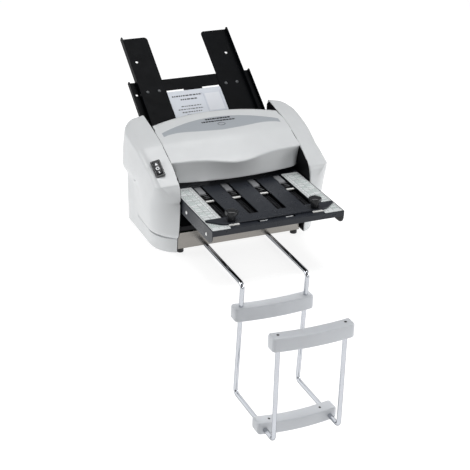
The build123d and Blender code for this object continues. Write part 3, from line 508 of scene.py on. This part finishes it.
def hood_height(x, y):
    """Height of the hood's top surface, slightly crowned across the machine."""
    crown = 1.6 * (1 - (x / HOOD_X) ** 2) * smoothstep(-80, 40, y)
    return look_up(CREST, y) + crown


def hood_rear(x):
    """y of the hood's rear edge."""
    return 64.5 - 22.5 * (x / HOOD_X) ** 2


def lens_upper(x):
    """y of the inset panel's rear edge."""
    return 45.0 - 29.0 * (x / LENS_X) ** 2


def lens_lower(x):
    """y of the inset panel's front edge."""
    return look_up(LENS_LOWER, abs(x))


def lens_rows(x):
    """y of the recess floor's points at x."""
    return [mix(lens_upper(x) - LENS_LAP, lens_lower(x) + LENS_LAP, step / 10) for step in range(11)]


def brow(x):
    """y of the brow's ridge."""
    return -59.0 - 15.5 * math.exp(-(x / 55.0) ** 2)


def lip(x):
    """y of the hood's lower front edge."""
    return -55.5 - 16.0 * (1 - (x / HOOD_X) ** 2) + 7.0 * smoothstep(110, HOOD_X, abs(x)) ** 2


def hood_section(x):
    """(y, z) points of the hood's outer skin at x, from the rear edge to the lower lip."""
    recess = RECESS if abs(x) < LENS_X else 0.0
    line = []
    for step in range(9):
        y = mix(hood_rear(x), lens_upper(x), step / 8)
        line.append((y, hood_height(x, y)))
    line += [(y, hood_height(x, y) - recess) for y in lens_rows(x)]
    ridge_y = brow(x)
    for step in range(17):
        y = mix(lens_lower(x), ridge_y + 3.2, step / 16)
        line.append((y, hood_height(x, y)))
    before = Vector(line[-1])
    ridge = Vector((ridge_y - 0.8, hood_height(x, ridge_y)))
    foot = Vector((lip(x), HOOD_LIP + LIP_R))
    after = ridge + (foot - ridge) * 0.07
    for step in range(1, 9):
        t = step / 8
        line.append(tuple(before * (1 - t) ** 2 + ridge * 2 * t * (1 - t) + after * t * t))
    hollow = Vector((1.6, 0.6))
    for step in range(1, 13):
        t = step / 12
        bulge = 4 * t * (1 - t)
        line.append(tuple(after * (1 - t) + foot * t + hollow * bulge))
    for degrees in (30, 60, 90, 140, 180):
        turn = math.radians(degrees)
        line.append((foot[0] + LIP_R * (1 - math.cos(turn)), foot[1] - LIP_R * math.sin(turn)))
    return line


LENS_STATIONS = [mix(-LENS_X + 0.1, LENS_X - 0.1, i / 90) for i in range(91)]
EDGE_STATIONS = [LENS_X, 117, 119, 121, 123, 124.2, HOOD_X - 0.4, HOOD_X]
HOOD_STATIONS = [-x for x in reversed(EDGE_STATIONS)] + LENS_STATIONS + EDGE_STATIONS


def hood_skin():
    """The hood's outer skin, with its side edges a little lower than the rest."""
    points = []
    for x in HOOD_STATIONS:
        rounding = 0.5 if abs(x) == HOOD_X else 0.0
        section = hood_section(x)
        for y, z in section:
            narrow = mix(1.0, HINGE_X / HOOD_X, smoothstep(18, 34, y))
            points.append((x * narrow, y, z - rounding))
    return Parts(points, grid_faces(len(HOOD_STATIONS), len(section)))


hood = piece("hood_shell", "hood", HOUSING, hood_skin(), replaces=("hood_cover",), sharp=28)
wall = hood.modifiers.new("wall", "SOLIDIFY")
wall.thickness = HOOD_WALL * MM
wall.offset = -1
wall.use_even_offset = True


def lens_skin():
    """The panel that fills the hood's recess, on the same stations as the hood."""
    top = [(x, y, hood_height(x, y) - LENS_DROP) for x in LENS_STATIONS for y in lens_rows(x)]
    base = [(x, y, z - LENS_T) for x, y, z in top]
    count = len(top)
    rows = len(LENS_STATIONS)
    width = count // rows
    faces = grid_faces(rows, width)
    faces += [tuple(i + count for i in face) for face in faces]
    rim = list(range(width)) + [r * width + width - 1 for r in range(1, rows)]
    rim += [(rows - 1) * width + c for c in reversed(range(width - 1))]
    rim += [r * width for r in reversed(range(1, rows - 1))]
    for i, start in enumerate(rim):
        end = rim[(i + 1) % len(rim)]
        faces.append((start, end, end + count, start + count))
    return Parts(top + base, faces)


piece("hood_lens_panel", "hood", LENS, lens_skin(), replaces=("hood_panel",), sharp=40)


# -------- wires and crossbars
FOOT_HEIGHT = 8.0
WIRE_R = 3.9
WIRE_X = 62.0
WIRE_Z = WIRE_R - FOOT_HEIGHT
WIRE_END_Y = 20.0
BEND_Y = -238.0  # the wires turn down over the desk's edge here
BASKET_BACK = (-220.1, -230.6)  # (y, z) of the basket's lower back corners
BASKET_FRONT_Y = -383.8
WIRE_TOP = (-385.8, -27.5)
WIRE_ROUTE = [(WIRE_END_Y, WIRE_Z), (BEND_Y, WIRE_Z), BASKET_BACK, (BASKET_FRONT_Y, BASKET_BACK[1]),
              WIRE_TOP]
WIRE_BEND = 9.0


def filleted(route, radius, steps=8):
    """Corner points replaced by arcs of one radius."""
    line = [Vector(route[0])]
    for before, corner, after in zip(route, route[1:], route[2:]):
        corner = Vector(corner)
        back = (Vector(before) - corner).normalized()
        ahead = (Vector(after) - corner).normalized()
        half = back.angle(ahead) / 2
        centre = corner + (back + ahead).normalized() * radius / math.sin(half)
        reach = radius / math.tan(half)
        start = corner + back * reach - centre
        sweep = (corner + ahead * reach - centre).angle_signed(start)
        for step in range(steps + 1):
            turned = start.copy()
            turned.rotate(Matrix.Rotation(sweep * step / steps, 2))
            line.append(centre + turned)
    line.append(Vector(route[-1]))
    return line


def wire_skin():
    """Both bent wires, with the ends under the pan chamfered."""
    parts = Parts()
    for side in (-1, 1):
        path = filleted(WIRE_ROUTE, WIRE_BEND)
        rings = []
        for index, here in enumerate(path):
            before = path[max(index - 1, 0)]
            after = path[min(index + 1, len(path) - 1)]
            along = (after - before).normalized()
            across = Vector((-along[1], along[0]))
            sizes = [(0.0, 1.0)]
            if index == 0:
                sizes = [(0.0, 0.55), (0.4, 0.85), (1.2, 1.0)]
            for shift, share in sizes:
                ring = []
                for angle in round_angles(20):
                    place = here + along * shift + across * WIRE_R * share * math.sin(angle)
                    ring.append((side * WIRE_X + WIRE_R * share * math.cos(angle), place[0], place[1]))
                rings.append(ring)
        parts.rings(rings)
    return parts


piece("basket_wires", "stacker", CHROME, wire_skin(), replaces=("stacker_wires",),
      sharp=50)

BAR_HALF = 75.5
BAR_BOW = 6.0
BAR_ALONG = 26.5  # size along the wires
BAR_ACROSS = 23.5
BAR_END = 6.0  # length of the rounding at each end
BAR_TAPER = (8.8, 6.05)  # how much smaller the very ends are, across and along
BAR_CORNER = 2.6


def bar_lift(x):
    """How far the bow puts a crossbar's middle line out at x."""
    return BAR_BOW * (0.5 - (x / BAR_HALF) ** 2)


def crossbar_skin(origin, bow, along):
    """A bowed bar of rounded section; bow and along are its cross directions in (y, z)."""
    parts = Parts()
    bow = Vector((0, *bow)).normalized()
    along = Vector((0, *along)).normalized()
    origin = Vector(origin)
    rings = []
    for step in range(45):
        x = BAR_HALF * math.sin(math.pi / 2 * (step / 22 - 1))
        end = min((BAR_HALF - abs(x)) / BAR_END, 1.0)
        shrink = 1 - math.sqrt(max(1 - (1 - end) ** 2, 0.0))
        ring = []
        for u, v in rounded_rectangle(BAR_ACROSS - BAR_TAPER[0] * shrink,
                                      BAR_ALONG - BAR_TAPER[1] * shrink, BAR_CORNER, 5):
            ring.append(tuple(origin + Vector((x, 0, 0)) + bow * (u + bar_lift(x)) + along * v))
        rings.append(ring)
    parts.rings(rings)
    return parts


BACK_BAR_Z = -61.8
BACK_BAR_Y = mix(BEND_Y, BASKET_BACK[0], (WIRE_Z - BACK_BAR_Z) / (WIRE_Z - BASKET_BACK[1]))
BOTTOM_BAR_Y = -335.9
FRONT_BAR_TOP = WIRE_TOP[1] + 2.0
for name, origin, bow, along in (
    ("back_crossbar", (0, BACK_BAR_Y, BACK_BAR_Z), (-1, 0), (0, 1)),
    ("front_crossbar", (0, WIRE_TOP[0], FRONT_BAR_TOP - BAR_ALONG / 2), (-1, 0), (0, 1)),
    ("bottom_crossbar", (0, BOTTOM_BAR_Y, BASKET_BACK[1]), (0, -1), (1, 0)),
):
    piece(name + "_moulding", "stacker", BAR_PLASTIC,
          crossbar_skin(origin, bow, along), replaces=(name,), sharp=60)


# Low black discs on the crossbars stand for their screw and wire holes: painted shade of the holes' dark
# insides.
SCREW_X = 49.5
SCREW_LEVEL = BAR_ACROSS / 2 - bar_lift(SCREW_X)
for name, apart, face, normal in (
    ("back_bar_holes", SCREW_X, (0, BACK_BAR_Y + SCREW_LEVEL, BACK_BAR_Z), (0, 1, 0)),
    ("front_bar_holes", WIRE_X, (0, BASKET_FRONT_Y, FRONT_BAR_TOP), (0, 0, 1)),
    ("bottom_bar_holes", SCREW_X, (0, BOTTOM_BAR_Y, BASKET_BACK[1] + SCREW_LEVEL), (0, 0, 1)),
):
    parts = Parts()
    normal = Vector(normal)
    side_way = Vector((1, 0, 0))
    other_way = normal.cross(side_way)
    for x in (-apart, apart):
        centre = Vector(face) + side_way * x
        parts.lathe([(2.6, -0.5), (2.6, 0.10), (2.3, 0.16), (1.4, 0.12), (0.05, 0.10)],
                    lambda u, v, h: tuple(centre + side_way * u + other_way * v + normal * h), 20)
    piece(name, "stacker", HOLE_SHADE_AND_PRINT_BLACK, parts)


# -------- hopper details
HOPPER_MARK = Vector((0, 154.7, 216.0))
HOPPER_UP = Vector((0, 1, 0.7)).normalized()
HOPPER_OUT = Vector((0, -0.7, 1)).normalized()


def on_hopper(u, v, w):
    """A place on the hopper: u across, v up the slope from the rivets, w out of the surface."""
    return tuple(HOPPER_MARK + Vector((u, 0, 0)) + HOPPER_UP * v + HOPPER_OUT * w)


def slope_at(y):
    """Distance up the hopper's slope of the place above y."""
    return (y - HOPPER_MARK[1]) / HOPPER_UP[1]


def rectangle(u0, v0, u1, v1):
    """Outline of a plain rectangle between two corners."""
    return [(u0, v0), (u1, v0), (u1, v1), (u0, v1)]


def shifted(place, lift):
    """The same placing function with its third value raised."""
    return lambda u, v, w: place(u, v, w + lift)


INK = 0.03  # thickness of printed marks


def printed_row(parts, place, start, end, v, height, draw, word=4.5, gap=1.3):
    """A row of short dashes that stands for a line of small print."""
    u = start
    while u < end:
        length = min(draw.uniform(0.5, 1.5) * word, end - u)
        parts.slab(rectangle(u, v, u + length, v + height), place, INK)
        u += length + gap


draw = random.Random(4)
RIVET_X = (-91.3, -68.2, 68.2, 91.3)
CARD_FACE = -0.8
CARD_T = 0.35
CARD_WIDTH = 108.6
CARD_LOW = slope_at(64)
CARD_HIGH = slope_at(150.6)
parts = Parts()
card = rounded_rectangle(CARD_WIDTH, CARD_HIGH - CARD_LOW, 2.0, 4, (0, (CARD_HIGH + CARD_LOW) / 2))
parts.slab(card, shifted(on_hopper, CARD_FACE - CARD_T), CARD_T, edge=0.1)
piece("hopper_card", "machine", CARD, parts, replaces=("hopper_label",))
parts = Parts()
print_face = shifted(on_hopper, CARD_FACE + 0.01)
for y, start, end, height in ((139.5, -48, 12, 3.0), (132.5, -33, 0, 3.0)):
    printed_row(parts, print_face, start, end, slope_at(y), height, draw, 4.6, 1.2)
piece("card_heading", "machine", PRINT_DARK, parts)
parts = Parts()
for y, start, end in ((120, -36, 4), (114.5, -44, 6), (109, -38, 2), (103.5, -30, -2),
                      (95, -42, 6), (89.5, -34, 0), (82, -44, 40), (76.5, -40, 36)):
    printed_row(parts, print_face, start, end, slope_at(y), 2.0, draw, 3.6, 1.3)
piece("card_small_print", "machine", PRINT_DARK, parts)
parts = Parts()
low = slope_at(106)
high = slope_at(144)
parts.slab(rectangle(15.5, low, 50, low + 1.3), print_face, INK)
parts.slab(rectangle(14.5, low, 16.0, high - 6), print_face, INK)
parts.slab(rectangle(49.4, low, 50, high), print_face, INK)
for step in range(6):
    parts.slab(rectangle(15.0 - 0.9 * step, high - 6 + 1.1 * step, 16.2 - 0.9 * step,
                         high - 4.6 + 1.1 * step), print_face, INK)
piece("card_frame", "machine", PRINT_GREY, parts)
parts = Parts()
parts.slab(rectangle(18, low + 3, 48, high - 4), print_face, INK)
piece("card_picture", "machine", CARD_LIGHT, parts)

parts = Parts()
for x in RIVET_X:
    parts.lathe([(3.3, 0.0), (3.3, 0.25), (3.0, 0.75), (2.2, 1.2), (1.1, 1.45), (0.05, 1.5)],
                lambda u, v, h: on_hopper(x + u, v, h), 24)
piece("hopper_rivet_heads", "machine", RIVET, parts,
      replaces=("hopper_rivets",), sharp=50)


# -------- fold table details
TABLE_TOP = 108.5
SLOT_X = (-77.5, -26.5, 26.5, 77.5)


def flat(level):
    """A placing function for a level face: u is x, v is y and w runs up from level."""
    return lambda u, v, w: (u, v, level + w)


STRIP_IN = 88.0
STRIP_WIDTH = 33.0
STRIP_REAR = -61.0
STRIP_FRONT = -243.0
STRIP_MARGIN = 6.0
FILM_T = 0.28
TICK_PITCH = 2.54
BLOCK_PITCH = 24.0  # spacing of the printed blocks along a strip
LINE_PITCH = 3.4
COLUMNS = ((9.8, 17.4), (19.8, 29.8))  # the printed columns' edges, from STRIP_IN
RULES = (8.6, 18.5, 30.8)  # the ruled lines' places, from STRIP_IN
strip_face = flat(TABLE_TOP + FILM_T + 0.01)
parts = Parts()
for side in (-1, 1):
    middle = (side * (STRIP_IN + STRIP_WIDTH / 2), (STRIP_REAR + STRIP_FRONT) / 2)
    parts.slab(rounded_rectangle(STRIP_WIDTH, STRIP_REAR - STRIP_FRONT, 1.0, 3, middle),
               flat(TABLE_TOP), FILM_T, edge=0.08)
piece("scale_films", "fold_table", FILM, parts, replaces=("scale_strips",))


def strip_span(side, start, end):
    """Rising x values of a span that is measured outwards from STRIP_IN."""
    return sorted((side * (STRIP_IN + start), side * (STRIP_IN + end)))


ticks = Parts()
rows = Parts()
for side in (-1, 1):
    for index in range(68):
        y = STRIP_REAR - STRIP_MARGIN - index * TICK_PITCH
        ends = strip_span(side, 1.0, 7.5 if index % 4 == 0 else 4.6)
        ticks.slab(rectangle(ends[0], y, ends[1], y + 0.55), strip_face, INK)
    for u in RULES:
        x = side * (STRIP_IN + u)
        ticks.slab(rectangle(x - 0.25, STRIP_FRONT + STRIP_MARGIN, x + 0.25,
                             STRIP_REAR - STRIP_MARGIN), strip_face, INK)
    for block in range(7):
        y = STRIP_REAR - 2 * STRIP_MARGIN - block * BLOCK_PITCH
        for column in COLUMNS:
            ends = strip_span(side, *column)
            for line in range(5):
                if draw.random() < 0.8:
                    printed_row(rows, strip_face, ends[0], ends[1], y - LINE_PITCH * line, 1.3, draw,
                                2.6, 0.7)
        ends = strip_span(side, RULES[0], RULES[-1])
        ticks.slab(rectangle(ends[0], y + 3.2, ends[1], y + 3.8), strip_face, INK)
piece("scale_ticks", "fold_table", PRINT_DARK, ticks)
piece("scale_print", "fold_table", PRINT_GREEN, rows)

PLATE_TOP = TABLE_TOP - 8.5  # upper face of the fold table's lower plate
GUIDE_HALF = 7.5
RIB_PITCH = 6.6
GUIDE_END = -122.9  # y of the white ends


def guide_body(outline, half):
    """A guide of one side outline, (y, height) pairs, in each of the four slots."""
    parts = Parts()
    for x in SLOT_X:
        rings = []
        for u, inset in ((-half, 0.4), (-half + 0.4, 0.0), (half - 0.4, 0.0), (half, 0.4)):
            rings.append([(x + u, y, PLATE_TOP + (h if h < 1 else h - inset)) for y, h in outline])
        parts.rings(rings)
    return parts


RAMP = [(-54, 0.2), (-54, 7.4), (-88, 7.4), (-90.5, 6.4), (-92, 3.0), (-92, 0.2)]
piece("paper_ramps", "fold_table", GUIDE_GREY, guide_body(RAMP, GUIDE_HALF - 1.2),
      replaces=("slot_guides",))
COMB = [(-92.4, 0.2), (-92.4, 2.4)]
for rib in range(4):
    front = -93.5 - RIB_PITCH * rib
    COMB += [(front, 2.4), (front - 0.6, 5.8), (front - 2.6, 5.8), (front - 3.4, 2.4)]
COMB += [(-120.6, 2.4), (-120.6, 0.2)]
piece("paper_combs", "fold_table", GUIDE_DARK, guide_body(COMB, GUIDE_HALF))
# Light grey strips on the black comb ribs' tops: painted highlights where the ribs catch the light.
parts = Parts()
for x in SLOT_X:
    for rib in range(3):
        y = -95.1 - RIB_PITCH * rib
        parts.slab(rounded_rectangle(8.5, 1.2, 0.5, 2, (x + 2.6, y)), flat(PLATE_TOP + 5.7), 0.35)
piece("comb_painted_highlights", "fold_table", GUIDE_GREY, parts)
parts = Parts()
for x in SLOT_X:
    parts.slab(rounded_rectangle(15.6, 4.0, 0.8, 3, (x, GUIDE_END)), flat(PLATE_TOP + 4.6), 2.2,
               edge=0.5)
piece("guide_end_caps", "fold_table", TIP_WHITE, parts, replaces=("guide_tips",))
parts = Parts()
for x in SLOT_X:
    parts.slab(rounded_rectangle(14.6, 3.4, 0.6, 3, (x, GUIDE_END + 0.2)), flat(PLATE_TOP + 0.1), 4.5,
               edge=0.3)
piece("guide_end_stems", "fold_table", GUIDE_DARK, parts)


def tube(parts, path, radius, steps=8):
    """A round rod along a list of points."""
    rings = []
    for index, here in enumerate(path):
        here = Vector(here)
        before = Vector(path[max(index - 1, 0)])
        after = Vector(path[min(index + 1, len(path) - 1)])
        along = (after - before).normalized()
        side_way = along.cross(Vector((0, 0, 1)))
        side_way = side_way.normalized() if side_way.length > 0.01 else Vector((1, 0, 0))
        other_way = along.cross(side_way)
        ring = []
        for angle in round_angles(steps):
            ring.append(tuple(here + (side_way * math.cos(angle) + other_way * math.sin(angle)) * radius))
        rings.append(ring)
    parts.rings(rings)


SPRING_ENDS = ((-6.2, 5.6), (-3.4, 3.2), (-0.4, 6.6), (2.8, 1.0), (5.8, 7.2))
SPRING_RISE = 1.85  # kept below the stop bar's fingers
SPRING_REAR = -119.0
SPRING_FRONT = -204.0
parts = Parts()
for x in SLOT_X:
    for start, end in SPRING_ENDS:
        path = []
        for step in range(13):
            t = step / 12
            path.append((x + mix(start, end, t), mix(SPRING_REAR, SPRING_FRONT, t),
                         PLATE_TOP + 0.9 + SPRING_RISE * math.sin(math.pi * t) ** 1.5 * (1 - 0.5 * t)))
        tube(parts, path, 0.5)
piece("guide_springs", "fold_table", SPRING_DARK, parts, sharp=60)

FLANGE_X = 123.0
FLANGE_HOLES_Y = (-129.4, -220.3)
FLANGE_HOLE_Z = 94.0
parts = Parts()
for side in (-1, 1):
    for y in FLANGE_HOLES_Y:
        parts.lathe([(3.0, -0.3), (3.0, 0.4), (2.7, 0.95), (1.9, 1.35), (1.0, 1.5), (0.05, 1.5)],
                    lambda u, v, h: (side * (FLANGE_X + h), y + u, FLANGE_HOLE_Z + v), 24)
piece("flange_screw_heads", "fold_table", TIP_WHITE, parts, sharp=50)


# -------- fold stop and knobs
BAR_BASE = TABLE_TOP + 0.4
BAR_T = 3.0
KNOB_X = 78.0
KNOB_Y = -220.5
KNOB_RISE = 11.0  # height of the stem under the cap
KNOB_CAP = 7.6  # height of the cap
FINGER_DEPTH = 6.0


def stop_bar_skin():
    """The stop bar as a bevelled plate with a finger in each slot."""
    parts = Parts()
    half = [(0, -205), (119.2, -205), (120, -205.8), (120, -208.6), (101.5, -225.6),
            (97, -228.6), (88, -230.8), (0, -231)]
    outline = half + [(-x, y) for x, y in reversed(half[1:-1])]
    parts.slab(outline, flat(BAR_BASE), BAR_T, edge=0.55)
    for x in SLOT_X:
        parts.slab(rounded_rectangle(12, 2, 0.8, 2, (x, -208)), flat(BAR_BASE - FINGER_DEPTH),
                   FINGER_DEPTH + 0.2, edge=0.3)
    return parts


piece("fold_stop_plate", "fold_stop", TABLE, stop_bar_skin(),
      replaces=("fold_stop_bar",), sharp=30)


def knob_skin(place, hub_depth):
    """A moulded clamp knob: ribbed stem, lobed cap with a rounded rim and a dished top."""
    parts = Parts()
    rise = KNOB_RISE
    top = rise + KNOB_CAP

    def lobe(angle, height):
        cap = smoothstep(rise - 0.6, rise + 1.2, height)
        ribs = 0.03 * math.cos(12 * angle) * smoothstep(1, 2, height) * (1 - cap)
        return 1 + 0.16 * (math.cos(5 * angle + 0.6) - 1) * 0.5 * cap + ribs

    profile = [(3.0, -hub_depth), (3.0, -0.02), (6.4, 0.0), (7.0, 0.6), (6.8, rise - 3.0),
               (7.1, rise - 1.2), (10.4, rise - 0.3), (11.5, rise + 0.5), (11.9, rise + 1.6),
               (11.9, top - 3.0), (11.5, top - 1.7), (10.4, top - 0.7), (8.8, top - 0.1), (7.6, top),
               (6.9, top - 0.2), (6.4, top - 1.0), (0.05, top - 1.2)]
    parts.lathe(profile, place, 80, lobe)
    return parts


for side, name in ((-1, "left"), (1, "right")):
    base = BAR_BASE + BAR_T + 0.2
    parts = knob_skin(lambda u, v, h: (side * KNOB_X + u, KNOB_Y + v, base + h),
                      base - TABLE_TOP + 3.5)
    piece(name + "_knob_moulding", name + "_knob", KNOB, parts,
          replaces=(name + "_stop_knob",), sharp=50)
parts = Parts()
for x in (-KNOB_X, KNOB_X):
    parts.slab(rounded_rectangle(19, 5, 1.2, 3, (x, -232.5)), flat(TABLE_TOP + 0.05), 1.7, edge=0.3)
piece("clamp_washers", "fold_stop", TIP_WHITE, parts)
parts = Parts()
for x in (-24.0, 24.0):
    parts.slab(rounded_rectangle(14, 1.6, 0.5, 2, (x, -233.6)), flat(TABLE_TOP + 0.02), 0.25)
piece("table_index_marks", "fold_table", PRINT_WHITE, parts)


# -------- switch
SWITCH_AT = Vector((-151.5, -63.0, 153.2))
SWITCH_LEAN = math.radians(15)  # outwards, away from the hood
SWITCH_PITCH = math.radians(27)  # forwards
ACROSS = Vector((1, 0, 0))
FORWARD = Vector((0, -math.sin(SWITCH_PITCH), math.cos(SWITCH_PITCH)))
SWITCH_X = ACROSS * math.cos(SWITCH_LEAN) + FORWARD * math.sin(SWITCH_LEAN)
SWITCH_OUT = FORWARD * math.cos(SWITCH_LEAN) - ACROSS * math.sin(SWITCH_LEAN)
SWITCH_Y = SWITCH_OUT.cross(SWITCH_X)
SWITCH_PROUD = 0.5


def on_switch(u, v, w):
    """A place on the switch's face: u across, v up the slope, w out of it."""
    return tuple(SWITCH_AT + SWITCH_X * u + SWITCH_Y * v + SWITCH_OUT * (w + SWITCH_PROUD))


parts = Parts()
rings = []
for width, height, radius, w in ((15.2, 33.8, 1.0, -6.0), (15.2, 33.8, 1.0, 1.0),
                                 (17.6, 36.4, 1.8, 1.0), (18.0, 36.8, 2.0, 1.7),
                                 (17.4, 36.2, 1.8, 2.7), (12.4, 30.4, 0.9, 2.9),
                                 (11.8, 29.4, 0.7, 2.5), (11.8, 29.4, 0.7, -6.0)):
    rings.append([on_switch(u, v, w) for u, v in rounded_rectangle(width, height, radius, 4)])
parts.rings(rings, cap=False)
count = len(rings[0])
last = (len(rings) - 1) * count
parts.faces += [(c, (c + 1) % count, last + (c + 1) % count, last + c) for c in range(count)]
piece("switch_frame", "machine", SWITCH_BLACK, parts,
      replaces=("switch_bezel",), sharp=40)
parts = Parts()
rings = []
for u, drop in ((-5.2, 0.7), (-4.6, 0.1), (-4.0, 0.0), (4.0, 0.0), (4.6, 0.1), (5.2, 0.7)):
    ring = []
    for step in range(17):
        v = mix(-13.6, 13.6, step / 16)
        ring.append(on_switch(u, v * (1 - drop * 0.02), 2.4 + 1.8 * (v / 13.6) ** 2 - drop))
    ring += [on_switch(u, 12.6, -1.5), on_switch(u, 3, -8), on_switch(u, -3, -8),
             on_switch(u, -12.6, -1.5)]
    rings.append(ring)
parts.rings(rings)
piece("switch_key", "switch", SWITCH_BLACK, parts,
      replaces=("switch_rocker",), sharp=40)


def on_key(u, v, w):
    """A place on the rocker's hollow face."""
    return on_switch(u, v, 2.42 + 1.8 * (v / 13.6) ** 2 + w)


parts = Parts()
parts.slab([(-2.9, 7.0), (2.9, 7.0), (0, 12.0)], on_key, 0.06)
parts.slab(rectangle(-0.8, -12.2, 0.8, -6.4), on_key, 0.06)
rings = []
for radius, w in ((3.3, 0.0), (3.3, 0.06), (2.0, 0.06), (2.0, 0.0)):
    rings.append([on_key(x, y, w) for x, y in arc((0, 0.2), radius, 0, 345, 23)])
parts.rings(rings, cap=False)
piece("switch_marks", "switch", PRINT_WHITE, parts)


# -------- feet, hinges and small trim
PLUG_AT = (20.0, 104.0)  # (y, z) of the oval plug in the left cover

FOOT_X = 113.0
FOOT_Y = 73.0
parts = Parts()
for x in (-FOOT_X, FOOT_X):
    for y in (-FOOT_Y, FOOT_Y):
        parts.lathe([(6.5, -0.02), (6.5, -1.6), (6.35, -1.9), (6.5, -2.2), (6.5, -6.9), (6.2, -7.7),
                     (5.4, -8.0), (3.0, -8.0), (2.6, -7.0), (0.05, -7.0)],
                    lambda u, v, h: (x + u, y + v, h), 28)
piece("foot_pads", "machine", FOOT_RUBBER, parts, replaces=("rubber_feet",), sharp=40)

parts = Parts()
rings = []
for grow, depth in ((1.0, -0.6), (1.0, 0.10), (0.86, 0.16), (0.8, 0.02), (0.1, 0.0)):
    rings.append([(-(side_surface(PLUG_AT[0] + 1.7 * grow * math.cos(a), PLUG_AT[1]) + depth),
                   PLUG_AT[0] + 1.7 * grow * math.cos(a), PLUG_AT[1] + 4.2 * grow * math.sin(a))
                  for a in round_angles(28)])
parts.rings(rings)
piece("side_plug", "machine", BAR_PLASTIC, parts, sharp=50)

HOOD_PIVOT = (36.0, 180.0)
parts = Parts()
for side in (-1, 1):
    tab = [(-5, 10.5), (-5, 0)] + arc((0, 0), 5, 180, 360, 10)[1:-1] + [(5, 0), (5, 12.0)]
    parts.slab(tab, lambda u, v, w: (side * (120.8 + w), HOOD_PIVOT[0] + u, HOOD_PIVOT[1] + v), 2.3,
               edge=0.3)
    parts.lathe([(2.9, 0), (2.9, 1.9), (2.5, 2.3), (0.05, 2.35)],
                lambda u, v, h: (side * (123.1 + h), HOOD_PIVOT[0] + u, HOOD_PIVOT[1] + v), 20)
piece("hood_hinge_ears", "hood", HOUSING, parts)

draw = random.Random(9)
parts = Parts()


def on_hood(u, v, w):
    """A place on the hood's top: u is x, v is y and w runs up from the surface."""
    return (u, v, hood_height(u, v) + w)


PRINT_LIFT = 0.03 - LENS_DROP
for y, start, end, height in ((36.4, -22, 27, 4.3), (28.8, -32, 34, 3.8)):
    printed_row(parts, shifted(on_hood, PRINT_LIFT), start, end, y, height, draw, 4.4, 0.8)
rings = []
for grow, w in ((0.0, 0.0), (0.0, 0.06), (-0.9, 0.06), (-0.9, 0.0)):
    rings.append([on_hood(3 + (7.5 + grow) * math.cos(a), 20 + (4.6 + grow) * math.sin(a),
                          PRINT_LIFT + w) for a in round_angles(32)])
parts.rings(rings, cap=False)
piece("hood_panel_print", "hood", HOLE_SHADE_AND_PRINT_BLACK, parts)


# -------- stage, lights and camera
def staged(name, points, faces, material):
    """A piece of the studio, from points in metres."""
    mesh = bpy.data.meshes.new(name)
    mesh.from_pydata(points, [], faces)
    mesh.materials.append(material)
    obj = linked(name, mesh)
    return obj


DESK_Z = -FOOT_HEIGHT * MM
DESK_FRONT = -0.232
FLOOR_Z = -0.75
STAGE_GREY = (0.35, 0.35, 0.35)  # most of the stage's white comes from its glow


def stage_surface(name, emission):
    """A pale studio surface that glows a little, so that its shadows stay light."""
    material = surface(name, STAGE_GREY, 0.8, vary=0.004, depth=0.0, specular=0.1)
    shader = material.node_tree.nodes["Principled BSDF"]
    shader.inputs["Emission Color"].default_value = (1, 1, 1, 1)
    shader.inputs["Emission Strength"].default_value = emission
    return material


DESK_WHITE = stage_surface("desk_white", 0.84)
FLOOR_WHITE = stage_surface("floor_white", 0.80)
staged("desk_top", [(-3, DESK_FRONT, DESK_Z), (3, DESK_FRONT, DESK_Z), (3, 3.6, DESK_Z),
                    (-3, 3.6, DESK_Z), (-3, 0, FLOOR_Z), (3, 0, FLOOR_Z)],
       [(0, 1, 2, 3), (4, 5, 1, 0)], DESK_WHITE)
staged("floor", [(-5, -5, FLOOR_Z), (5, -5, FLOOR_Z), (5, 3, FLOOR_Z), (-5, 3, FLOOR_Z)],
       [(0, 1, 2, 3)], FLOOR_WHITE)


def softbox(name, place, target, size, power):
    """A soft rectangular light at place, turned to target."""
    data = bpy.data.lights.new(name, "AREA")
    data.shape = "RECTANGLE"
    data.size, data.size_y = size
    data.energy = power
    lamp = linked(name, data)
    lamp.location = place
    lamp.rotation_euler = (Vector(target) - Vector(place)).to_track_quat("-Z", "Y").to_euler()


softbox("softbox_top", (0.1, -0.1, 1.9), (0, -0.1, 0), (1.5, 1.3), 24)
softbox("softbox_left", (-1.9, 0.5, 0.7), (0, -0.05, 0.05), (1.2, 1.2), 17)
softbox("softbox_right", (1.9, -0.9, 0.6), (0, -0.1, 0.05), (1.2, 1.2), 19)
softbox("softbox_low", (0.3, -2.8, 0.5), (0, -0.3, 0.0), (1.6, 0.8), 12)

world = bpy.data.worlds.new("studio")
bpy.context.scene.world = world
world.use_nodes = True
backdrop = world.node_tree.nodes["Background"]
backdrop.inputs["Color"].default_value = (1, 1, 1, 1)
backdrop.inputs["Strength"].default_value = 0.18
bpy.context.scene.view_settings.view_transform = "Standard"

CAMERA_AT = (-0.8970, -2.0850, 1.0548)
CAMERA_AZIMUTH = math.radians(-23.8987)
CAMERA_ELEVATION = math.radians(25.4699)
CAMERA_ROLL = math.radians(1.4932)
back = Vector((math.sin(CAMERA_AZIMUTH) * math.cos(CAMERA_ELEVATION),
               -math.cos(CAMERA_AZIMUTH) * math.cos(CAMERA_ELEVATION),
               math.sin(CAMERA_ELEVATION)))
right = (-back).cross(Vector((0, 0, 1))).normalized()
up = right.cross(-back)
turned_right = right * math.cos(CAMERA_ROLL) + up * math.sin(CAMERA_ROLL)
turned_up = up * math.cos(CAMERA_ROLL) - right * math.sin(CAMERA_ROLL)
lens_data = bpy.data.cameras.new("camera")
lens_data.sensor_width = 36.0
lens_data.lens = 102.206
camera = linked("camera", lens_data)
stand = Matrix((turned_right, turned_up, back)).transposed().to_4x4()
stand.translation = CAMERA_AT
camera.matrix_world = stand
bpy.context.scene.camera = camera
